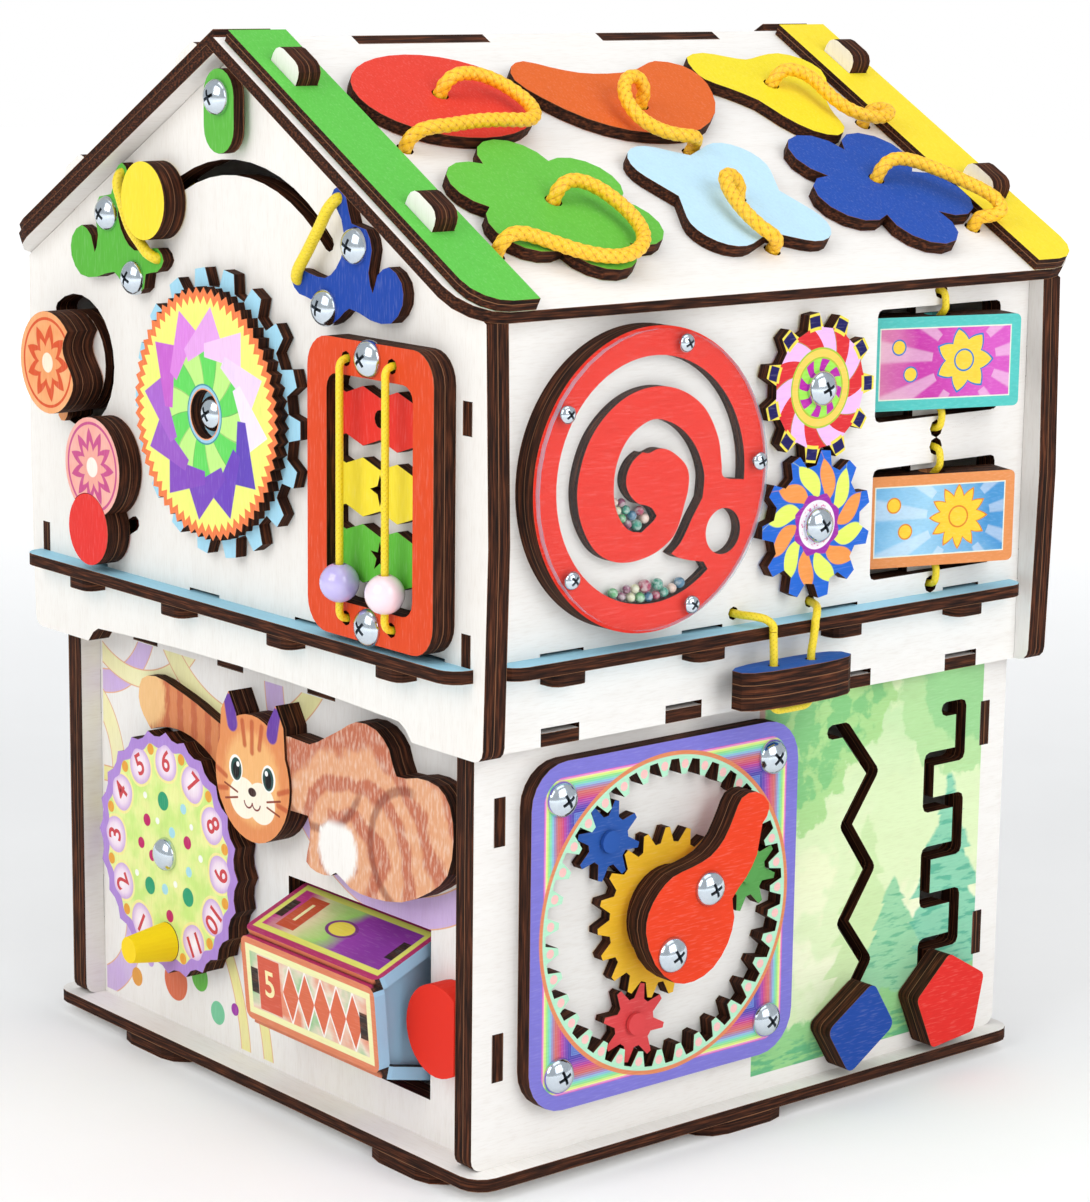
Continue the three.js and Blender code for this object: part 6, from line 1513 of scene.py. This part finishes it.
    def glass(self) -> None:
        """Pours small glass beads into the maze's channel."""
        clusters = [
            (-65.2, 209.0, 1.9), (-68.8, 209.6, 1.5), (-62.0, 210.8, 1.7), (-71.2, 211.6, 1.5),
            (-67.0, 212.2, 1.6), (-64.0, 213.4, 1.5), (-73.0, 214.2, 1.4), (-69.6, 214.2, 1.5),
            (-71.4, 216.6, 1.4), (-74.2, 217.0, 1.3), (-63.2, 186.2, 1.7), (-59.8, 186.0, 1.6),
            (-56.6, 186.2, 1.5), (-67.0, 186.6, 1.6), (-53.4, 186.8, 1.7), (-70.8, 187.4, 1.5),
            (-50.0, 187.6, 1.6), (-74.2, 188.8, 1.7), (-46.8, 189.0, 1.8), (-61.2, 189.6, 2.1),
            (-65.2, 189.2, 1.5), (-56.0, 189.6, 1.9), (-68.6, 189.4, 1.4),
        ]
        tints = [paint(c) for c in (0x1E8A72, 0xA01848, 0x5AA86A, 0x7A2050, 0xC8C8A0, 0x2C6C8C, 0xD8B8A8)]
        seed = seed_points(
            "glass_beads",
            [(127.4, y, z) for y, z, _ in clusters],
            size=[r / 1000 for _, _, r in clusters],
            tint=[tints[(3 * i) % len(tints)] for i in range(len(clusters))],
        )
        tree = Recipe("Glass beads")
        ball = tree.node("GeometryNodeMeshIcoSphere", {}, {"Radius": 1.0, "Subdivisions": 3})[0]
        placed = {"Points": tree.start.outputs[0], "Instance": ball, "Scale": tree.attribute("size")}
        made = tree.node("GeometryNodeInstanceOnPoints", {}, placed)[0]
        smooth = tree.node("GeometryNodeSetShadeSmooth", {}, {0: made})[0]
        tree.close(smooth)
        shade = Shade("Coloured glass beads")
        tint = shade.node("ShaderNodeAttribute", {"attribute_name": "tint"}, {}, "Color")
        core = shade.noise((0.6, 0.6, 0.6), 2.0)
        colour = shade.mix(tint, paint(0xF4F8F4), core.over(0.55, 0.15) * 0.4)
        finish = shade.finish(colour, 0.06, Coat_Weight=1.0)
        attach(tree.make("glass_beads", seed, finish), "house")


@dataclass
class LowerFrontToys:
    """The dial, the drum and the cat at the lower front."""

    dial: Pair = (-52.5, 73.5)
    drum: tuple[float, float, float] = (46.1, -108.2, 50.0)
    rest: float = 185.0
    number_ring: float = 32.6
    cat_head: Pair = (0.1, 111.2)

    def dial_print(self, shade: Shade) -> Value:
        """Returns the dial's print: a scalloped rim, pale circles for the numbers and loose dots."""
        x, _, z = shade.xyz()
        r, turn = shade.away(x, z, self.dial), shade.bearing(x, z, self.dial)
        wave = (shade.math("COSINE", turn * (24 * math.tau)) + 1.0) * 0.5
        local = (turn * 12.0 + 0.5).wrap(1.0) - 0.5
        side = (turn * 12.0).wrap(1.0) - 0.5
        hour = math.tau / 12
        spot = shade.length(local * r * hour, r - self.number_ring)
        gap = shade.length(side * r * hour, r - (self.number_ring + 4.0))
        pales = [(0.1, paint(0xFBF3F6)), (0.6, paint(0xF0DCEC)), (0.95, paint(0xC9A4DA))]
        pale = shade.ramp(spot / 7.0, pales)
        wash = shade.noise((0.1, 0.1, 0.1), 3.0, 3.0)
        colour = shade.layers(
            shade.mix(paint(0xCDEB84), paint(0xEDF2A0), wash.over(0.5, 0.15)),
            (paint(0xE8A23C), gap.under(2.0)),
            (paint(0xF4EC9C), spot.under(7.5)),
            (pale, spot.under(6.5)),
        )
        spots = [
            (18.5, 96, 3.3, 0x2E9E72), (18.0, -44, 3.3, 0x2E9E72), (17.5, -128, 3.1, 0x2E9E72),
            (15.5, 142, 2.2, 0xC02466), (14.5, 28, 2.3, 0xC02466), (9.5, 196, 2.0, 0xC02466),
            (22.0, -86, 2.2, 0xC02466), (16.0, 178, 2.0, 0xC02466), (9.0, 68, 1.9, 0xA8DCE8),
            (21.0, 60, 1.8, 0xA8DCE8), (14.0, -14, 1.8, 0xA8DCE8), (13.0, -96, 1.9, 0xA8DCE8),
            (21.0, 8, 1.3, 0xF8FAF0), (12.0, 118, 1.2, 0xF8FAF0), (22.5, 126, 1.2, 0xF8FAF0),
            (11.0, -62, 1.2, 0xF8FAF0), (22.0, -150, 1.2, 0xF8FAF0), (20.0, 40, 1.1, 0xF8FAF0),
        ]
        for radius, angle, size, code in spots:
            across, up = ray(radius, angle)
            at = (self.dial[0] + across, self.dial[1] + up)
            colour = shade.mix(colour, paint(code), shade.away(x, z, at).under(size))
        return shade.mix(colour, paint(0xB08AD4), r.over(38.6 - 1.6 * (1.0 - wave)))

    def cone(self, shade: Shade) -> list[tuple[Colour, Value]]:
        """Returns the cone's yellow, over everything in front of the dial."""
        _, y, _ = shade.xyz()
        return [(paint(0xFAD61B), y.under(-119.4, 0.05))]

    def number(self, name: str, figures: dict[str, Matrix], size: float, finish: bpy.types.Material,
               body: str) -> None:
        """Sets printed figures on a body.

        Args:
            name: The new object's name.
            figures: Each figure's place, in metres.
            size: The figures' height in metres.
            finish: The ink.
            body: The body that they move with.
        """
        filled = []
        for text, place in figures.items():
            curve = bpy.data.curves.new(name + text, "FONT")
            curve.body, curve.size, curve.extrude = text, size, 0.00002
            curve.align_x, curve.align_y = "CENTER", "CENTER"
            curve.resolution_u = 6
            curve.offset = 0.00016
            filled.append((curve, place.__matmul__))
        made_object = joined(name, filled)
        made_object.data.materials.append(finish)
        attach(made_object, body)

    def tile_frame(self, index: int) -> Matrix:
        """Returns a drum tile's frame: across, up and out, at its face, in metres."""
        angle = math.radians(self.rest + 72 * index)
        c, s = math.cos(angle), math.sin(angle)
        out = Vector((0.0, c, s))
        place = Vector(metres(Vector(self.drum) + out * 22.05))
        return Matrix.Translation(place) @ Matrix((
            (1.0, 0.0, 0.0, 0.0), (0.0, s, c, 0.0), (0.0, -c, s, 0.0), (0.0, 0.0, 0.0, 1.0)
        ))

    def drum_finish(self) -> bpy.types.Material:
        """Builds the drum's finish: five printed tiles, burnt edges and light blue ends."""
        shade = Shade("Printed drum")
        x, _, _ = shade.xyz()
        u = x - self.drum[0]
        wood = shade.ramp(shade.noise((0.1, 0.9, 0.9), 5.0), BURNT_STOPS)
        board = Plywood("Drum tile paint", Face.LEVEL, along=CROSSWISE)
        ends = abs(shade.dot(shade.normal, RIGHTWARD)).over(0.9, 0.03)
        colour = shade.mix(wood, paint(0x9CC8E4), ends)
        blotch = shade.noise((0.06, 0.06, 0.06), 3.0, 6.0)
        for index in range(5):
            angle = math.radians(self.rest + 72 * index)
            c, s = math.cos(angle), math.sin(angle)
            v = shade.dot(shade.place, (0.0, s, -c)) - (self.drum[1] * s - self.drum[2] * c)
            facing = shade.dot(shade.normal, (0.0, c, s)).over(0.9, 0.03)
            outer = shade.dot(shade.place, (0.0, c, s)) - (self.drum[1] * c + self.drum[2] * s)
            border = (abs(u) - 36.5).most(abs(v) - 14.5)
            if index == 0:
                face = self.diamonds(shade, u, v, blotch)
            else:
                face = self.panel(shade, u, v, blotch, index)
            rims = [(0xDD8058, 0xF2F0B4), (0x3E8FC0, 0xF2E6A0), (0x58A868, 0xF6EFC0), (0x8E58B4, 0xF0EEB0),
                    (0xB52C66, 0xE4E46A)][index]
            slot = (abs(abs(u) - 29.8) - 2.0).most(abs(v) - 4.4)
            face = shade.layers(
                face,
                (paint(rims[1]), border.over(-4.6)),
                (paint(rims[0]), border.over(-2.3)),
                (wood, slot.under(0.0)),
            )
            colour = shade.mix(colour, board.coat(shade, face), facing * outer.over(20.0, 0.3))
        return shade.finish(colour, 0.55, Specular_IOR_Level=0.35)

    def diamonds(self, shade: Shade, u: Value, v: Value, blotch: Value) -> Value:
        """Returns the front tile's field: a panel for its figure and a row of diamonds."""
        period = 8.6
        cell = abs((u + 14.0).wrap(period) - period / 2) / (period / 2)
        shape = cell + abs(v) / 9.2
        row = u.within(-14.0, 29.0)
        washes = [(0.35, paint(0x6CC078)), (0.5, paint(0xEBD9C4)), (0.62, paint(0xE58C6C))]
        ground = shade.ramp(blotch, washes)
        return shade.layers(
            ground,
            (paint(0xFAF4EE), shape.under(1.16, 0.03) * row),
            (paint(0xDB6A45), shape.under(1.0, 0.03) * row),
            (paint(0xD4573C), u.within(-27.6, -15.4) * abs(v).under(9.4)),
        )

    def panel(self, shade: Shade, u: Value, v: Value, blotch: Value, index: int) -> Value:
        """Returns another tile's field: washes of colour and a ring in the middle."""
        ring = shade.length(u / 6.6, v / 3.6)
        wash = shade.ramp((u + 30.0) / 60.0 * 0.8 + blotch * 0.3 + 0.02 * index, [
            (0.25, paint(0xC43A86)), (0.4, paint(0xE7D7A8)), (0.58, paint(0xA4D66C)), (0.7, paint(0x9A3CA8)),
            (0.9, paint(0x8A349C)),
        ])
        return shade.layers(
            wash,
            (paint(0x7C2C7C), ring.under(1.16, 0.03)),
            (paint(0xEFD94C), ring.under(0.92, 0.03)),
            (paint(0xC8502C), u.within(-26.4, -16.6) * abs(v).under(8.2)),
        )

    def cat_print(self, shade: Shade) -> Value:
        """Returns a plain tabby: warm fur with soft bands, a pale muzzle and a white tail tip."""
        x, y, z = shade.xyz()
        bend = shade.noise((0.03, 0.0, 0.03), 3.0, 1.0) * 34.0
        hair = shade.noise((0.9, 0.0, 0.25), 4.0, 2.0)
        bands = shade.math("SINE", (shade.away(x, z, (56.0, 92.0)) + bend) * 0.42 + hair * 1.6)
        fur = shade.mix(paint(0xE2A37A), paint(0xB5533A), bands.over(0.15, 0.5) * 0.75)
        fur = shade.mix(fur, paint(0xF6E3CF), hair.over(0.56, 0.12) * 0.45)
        tail = shade.away(x, z, (46.5, 97.0)) + hair * 6.0
        haunch = abs(shade.away(x, z, (84.0, 104.0)) + hair * 2.0 - 21.0)
        leg = abs(shade.away(x, z, (34.0, 128.0)) + hair * 2.0 - 27.0)
        body = shade.layers(
            fur,
            (paint(0x7A2F22), haunch.under(1.5, 0.8) * x.under(86.0, 3.0) * 0.6),
            (paint(0x7A2F22), leg.under(1.3, 0.8) * z.under(118.0, 3.0) * 0.6),
            (paint(0xF8F5F0), tail.under(13.5, 1.2) * z.under(106.0, 2.0)),
        )
        sleeve = shade.math("SINE", x * 0.75 + hair * 3.0)
        arm = shade.mix(paint(0xD98858), paint(0xB44E34), sleeve.over(0.2, 0.4) * 0.6)
        paw = (shade.away(x, z, (-71.0, 126.0)) + hair * 5.0).under(14.0, 2.0)
        arm = shade.mix(arm, paint(0xF2C286), paw)
        colour = shade.mix(body, arm, x.under(8.0))
        return shade.mix(colour, self.head_print(shade, hair), y.under(-119.3))

    def head_print(self, shade: Shade, hair: Value) -> Value:
        """Returns the head's print: a plain cat's face of round eyes, nose, stripes and whiskers."""
        x, _, z = shade.xyz()
        u, v = x - self.cat_head[0], z - self.cat_head[1]
        r = shade.away(u, v, (0.0, 0.0))
        base = shade.mix(paint(0xF3B877), paint(0xE08550), (r + hair * 4.0).over(17.5, 2.5) * 0.8)
        mirror = abs(u)
        stripes, cheeks, whiskers = (
            shade.line(mirror, v, *one).least(shade.line(mirror, v, *other))
            for one, other in (
                (((0.0, 9.0), (0.0, 19.0)), ((4.2, 11.0), (5.6, 18.5))),
                (((15.0, -2.0), (20.5, 0.0)), ((14.5, -6.0), (19.5, -6.8))),
                (((8.5, -6.2), (16.0, -4.4)), ((8.5, -8.0), (15.5, -9.6))),
            )
        )
        mouth = abs(shade.away(mirror, v, (2.3, -8.0)) - 2.3).under(0.3) * v.under(-8.2)
        ear = shade.line(mirror, v, (11.4, 17.0), (13.0, 23.5))
        return shade.layers(
            base,
            (paint(0xFFF3DF), shade.oval(mirror, v, (5.0, -7.5), (8.0, 7.0))),
            (paint(0xC25A34), stripes.under(1.1, 0.5) * 0.85),
            (paint(0xC25A34), cheeks.under(0.9, 0.5) * 0.85),
            (paint(0x6A3FA0), ear.under(3.0, 0.4)),
            (paint(0xFFFDF6), shade.oval(mirror, v, (9.4, 1.8), (3.9, 4.6))),
            (paint(0x274C48), shade.oval(mirror, v, (9.2, 1.6), (3.1, 3.9))),
            (paint(0x0C0C10), shade.oval(mirror, v, (9.2, 1.2), (1.9, 2.8))),
            (paint(0xFFFFFF), shade.away(mirror, v, (8.2, 3.4)).under(0.9)),
            (paint(0x3A1A18), shade.oval(mirror, v, (0.0, -4.6), (2.3, 1.5))),
            (paint(0x7A2A2A), mouth),
            (paint(0x8C3C28), whiskers.under(0.35)),
        )

    def dress(self, screws: Screws) -> None:
        """Finishes the lower front's toys, their figures and the dial's screw."""
        dial = Plywood("Printed dial", Face.FRONT, LOWER_FRONT - CLEAR)
        dress("dial", dial.material(self.dial_print, self.cone))
        dress("drum", self.drum_finish())
        dress("cat", Plywood("Printed cat", Face.FRONT, LOWER_FRONT).material(self.cat_print))
        seat = (self.dial[0], -119.5, self.dial[1])
        screws.drive("dial_screw", "house", [seat], FRONTWARD, Recess.PLAIN)
        ink = Shade("Red ink")
        red = ink.finish(ink.mix(paint(0xC3202C), paint(0xD4434A), ink.noise((0.8, 0.8, 0.8))), 0.5)
        upright = Matrix((
            (1.0, 0.0, 0.0, 0.0), (0.0, 0.0, -1.0, 0.0), (0.0, 1.0, 0.0, 0.0), (0.0, 0.0, 0.0, 1.0)
        ))
        figures = {}
        for number in range(1, 13):
            turn = -30 * (number - 6)
            across, up = ray(self.number_ring, 90 + turn)
            at = metres((self.dial[0] + across, -119.14, self.dial[1] + up))
            lean = Matrix.Rotation(math.radians(turn), 4, "Z")
            figures[str(number)] = Matrix.Translation(at) @ upright @ lean
        self.number("dial_figures", figures, 0.0106, red, "dial")
        pale = Shade("Cream ink")
        cream = pale.finish(pale.mix(paint(0xF6E59A), paint(0xF9EEC0), pale.noise((0.8, 0.8, 0.8))), 0.5)
        shift = Matrix.Translation((-0.0215, 0.0, 0.0))
        figures = {text: self.tile_frame(index) @ shift for index, text in enumerate("54321")}
        self.number("drum_figures", figures, 0.0128, cream, "drum")


@dataclass
class LowerSideToys:
    """The planetary gears and the two slot knobs at the lower right."""

    sun: Pair = (-43.8, 80.3)
    teeth: int = 35
    planet_codes: tuple[int, int, int] = (0x2A57A8, 0x5BA253, 0xDA474A)

    def ring_print(self, shade: Shade) -> Value:
        """Returns the ring frame's print: nested stripes, a coral line and dotted mint teeth."""
        _, y, z = shade.xyz()
        u, v = y - self.sun[0], z - self.sun[1]
        square = abs(u).most(abs(v))
        r, turn = shade.away(y, z, self.sun), shade.bearing(y, z, self.sun)
        codes = [
            (0.0, 0x5C78C8), (0.3, 0x4A40AA), (0.36, 0x6C3CB0), (0.42, 0x9448B0), (0.47, 0xB43CA0),
            (0.52, 0xCC4480), (0.57, 0xD25A70), (0.62, 0xD26A66), (0.67, 0xB87A90), (0.71, 0x9C8CC0),
            (0.75, 0x88BCD8), (0.79, 0x7CD8B4), (0.83, 0x94E08C), (0.87, 0xD0EC80), (0.9, 0xEEF08C),
            (0.925, 0xE890CC), (0.95, 0xD658B4), (0.965, 0x7C78D4),
        ]
        stripes = shade.ramp((square - 34.0) / 18.0, [(p, paint(c)) for p, c in codes], True)
        fine = shade.math("SINE", square * 9.0).over(0.0, 0.5) * 0.08
        stripes = shade.mix(stripes, paint(0xFFFFFF), fine)
        local = ((turn * self.teeth + 0.5).wrap(1.0) - 0.5) * (math.tau / self.teeth) * r
        pip = shade.length(local, r - 48.6)
        rim = shade.length((abs(u) - 42.5).most(0.0), (abs(v) - 42.5).most(0.0)).over(9.2)
        return shade.layers(
            stripes,
            (paint(0x7E78D0), rim.most(square.over(51.8))),
            (paint(0xE18A5E), r.under(53.0)),
            (paint(0xB4E8C8), r.under(51.6)),
            (paint(0xF6C3BE), pip.under(1.5)),
        )

    def pin_ends(self, shade: Shade) -> list[tuple[Colour, Value]]:
        """Returns the colours of the pins that the planets turn on."""
        x, y, z = shade.xyz()
        proud = x.over(LOWER_SIDE + 0.2)
        ends = []
        for angle, code in zip((131, 11, 251), self.planet_codes):
            u, v = ray(36.5, angle)
            pin = shade.away(y, z, (self.sun[0] + u, self.sun[1] + v)).under(9.0)
            ends.append((paint(code), pin * proud))
        return ends

    def crank_print(self, shade: Shade) -> Value:
        """Returns the crank's paint: a red handle over a yellow sun gear."""
        x, _, _ = shade.xyz()
        return shade.mix(paint(0xF2BE30), paint(0xE8401C), x.over(124.0))

    def dress(self, screws: Screws) -> None:
        """Finishes the planetary gears, their frame and the slot knobs."""
        side = {"face": Face.SIDE, "along": SIDEWAYS}
        ring = Plywood("Striped ring frame", seam=LOWER_SIDE, sheet=5.8, **side)
        dress("ring_gear", ring.material(self.ring_print))
        dress("crank_handle", Plywood("Red crank", seam=124.3, **side).material(self.crank_print))
        pale = Plywood("Carrier disc", seam=111.3, colour=paint(0xEFEDE9), **side)
        dress("planet_carrier", pale.material(None, self.pin_ends))
        for number, colour in enumerate(self.planet_codes, 1):
            board = Plywood(f"Planet {number}", seam=LOWER_SIDE + 0.2, colour=paint(colour), **side)
            dress(f"planet_{number}", board.material())
        knob = {"seam": LOWER_SIDE + CLEAR, "sheet": 4.7, **side}
        dress("rhomb_knob", Plywood("Blue knob", colour=paint(0x1B479F), **knob).material())
        dress("pentagon_knob", Plywood("Red slot knob", colour=paint(0xE22B24), **knob).material())
        corners = [(121.5, self.sun[0] + a * 44.6, self.sun[1] + b * 44.6) for a in (-1, 1) for b in (-1, 1)]
        screws.drive("ring_screws", "house", corners, RIGHTWARD)
        screws.drive("crank_screws", "crank", [(132.7, -36.1, 89.8), (132.7, -51.5, 70.8)], RIGHTWARD)


@dataclass
class Studio:
    """The camera, the pale floor and soft studio light."""

    position: Point = (0.86323, -0.71465, 0.38440)
    azimuth: float = 50.09
    elevation: float = 11.43
    roll: float = 0.71
    lens: float = 108.23
    lamps: tuple[tuple[str, Point, float, float], ...] = (
        ("key", (0.1, -1.6, 1.2), 1.2, 13.0),
        ("side", (1.7, 0.1, 1.0), 1.2, 12.0),
        ("top", (0.3, 0.0, 1.9), 1.4, 6.5),
    )

    def camera(self) -> None:
        """Sets the camera where the photograph was taken."""
        a, e, roll = (math.radians(v) for v in (self.azimuth, self.elevation, self.roll))
        back = Vector((math.sin(a) * math.cos(e), -math.cos(a) * math.cos(e), math.sin(e)))
        right0 = Vector((math.cos(a), math.sin(a), 0.0))
        up0 = back.cross(right0)
        right = math.cos(roll) * right0 + math.sin(roll) * up0
        up = -math.sin(roll) * right0 + math.cos(roll) * up0
        data = bpy.data.cameras.new("photo_camera")
        data.sensor_fit, data.sensor_width, data.lens = "HORIZONTAL", 36.0, self.lens
        data.clip_start, data.clip_end = 0.01, 50.0
        made = placed("photo_camera", data)
        turn = Matrix((right, up, back)).transposed().to_4x4()
        made.matrix_world = Matrix.Translation(self.position) @ turn
        bpy.context.scene.camera = made

    def light(self) -> None:
        """Adds the floor, a bright surround and soft lamps."""
        scene = bpy.context.scene
        scene.view_settings.view_transform = "Standard"
        world = bpy.data.worlds.new("studio")
        scene.world = world
        world.use_nodes = True
        world.node_tree.nodes["Background"].inputs[0].default_value = (0.96, 0.98, 1.0, 1.0)
        world.node_tree.nodes["Background"].inputs[1].default_value = 0.58
        floor = self._sheet("floor", 6.0)
        shade = Shade("Pale floor")
        grain = shade.noise((0.02, 0.02, 0.02))
        x, y, _ = shade.xyz()
        distance = {"Value": shade.length(x, y), "From Min": 350.0, "From Max": 1700.0}
        far = shade.node("ShaderNodeMapRange", {"interpolation_type": "SMOOTHSTEP"}, distance)
        glow = {"Emission_Color": shade.mix(BLACK, PURE_WHITE, far), "Emission_Strength": 0.5}
        colour = shade.mix(paint(0xFAFAFA), PURE_WHITE, grain)
        floor.data.materials.append(shade.finish(colour, 0.9, Specular_IOR_Level=0.0, **glow))
        backdrop = self._backdrop()
        for name, place, size, power in self.lamps:
            lamp = bpy.data.lights.new(name, "AREA")
            lamp.shape, lamp.size, lamp.energy = "SQUARE", size, power
            way = Vector(place) - Vector((0.0, 0.0, 0.18))
            turn = way.to_track_quat("Z", "Y").to_matrix().to_4x4()
            placed(name, lamp).matrix_world = Matrix.Translation(place) @ turn

    def _sheet(self, name: str, half: float) -> bpy.types.Object:
        """Lays a square sheet under the house."""
        data = bpy.data.meshes.new(name)
        corners = [(-half, -half, 0), (half, -half, 0), (half, half, 0), (-half, half, 0)]
        data.from_pydata(corners, [], [(0, 1, 2, 3)])
        return placed(name, data)

    def _backdrop(self) -> bpy.types.Object:
        """Stands a white drum round the stage, which only the camera sees, so the lamps' light passes it."""
        count, radius, height = 96, 5.6, 6.0
        ring = [ray(radius, 360 * i / count) for i in range(count)]
        points = [(x, y, 0.0) for x, y in ring] + [(x, y, height) for x, y in ring]
        faces = [(i, (i + 1) % count, count + (i + 1) % count, count + i) for i in range(count)]
        faces.append(tuple(range(2 * count - 1, count - 1, -1)))
        data = bpy.data.meshes.new("backdrop")
        data.from_pydata(points, [], faces)
        shade = Shade("White backdrop")
        glow = {"Emission_Color": PURE_WHITE, "Emission_Strength": 1.0}
        data.materials.append(shade.finish(BLACK, 1.0, Specular_IOR_Level=0.0, **glow))
        made = placed("backdrop", data)
        made.visible_diffuse = made.visible_glossy = made.visible_transmission = made.visible_shadow = False
        return made


def main() -> None:
    """Builds the whole scene in order."""
    logging.basicConfig(level=logging.INFO, format="%(name)s: %(message)s")
    studio = Studio()
    studio.camera()
    cords = Cords()
    roof = Roof()
    roof.rope(cords)
    studio.light()
    screws = Screws()
    Shell().dress()
    roof.dress()
    GableToys().dress(screws, cords)
    SideToys().dress(screws, cords)
    LowerFrontToys().dress(screws)
    LowerSideToys().dress(screws)


if __name__ == "__main__":
    main()
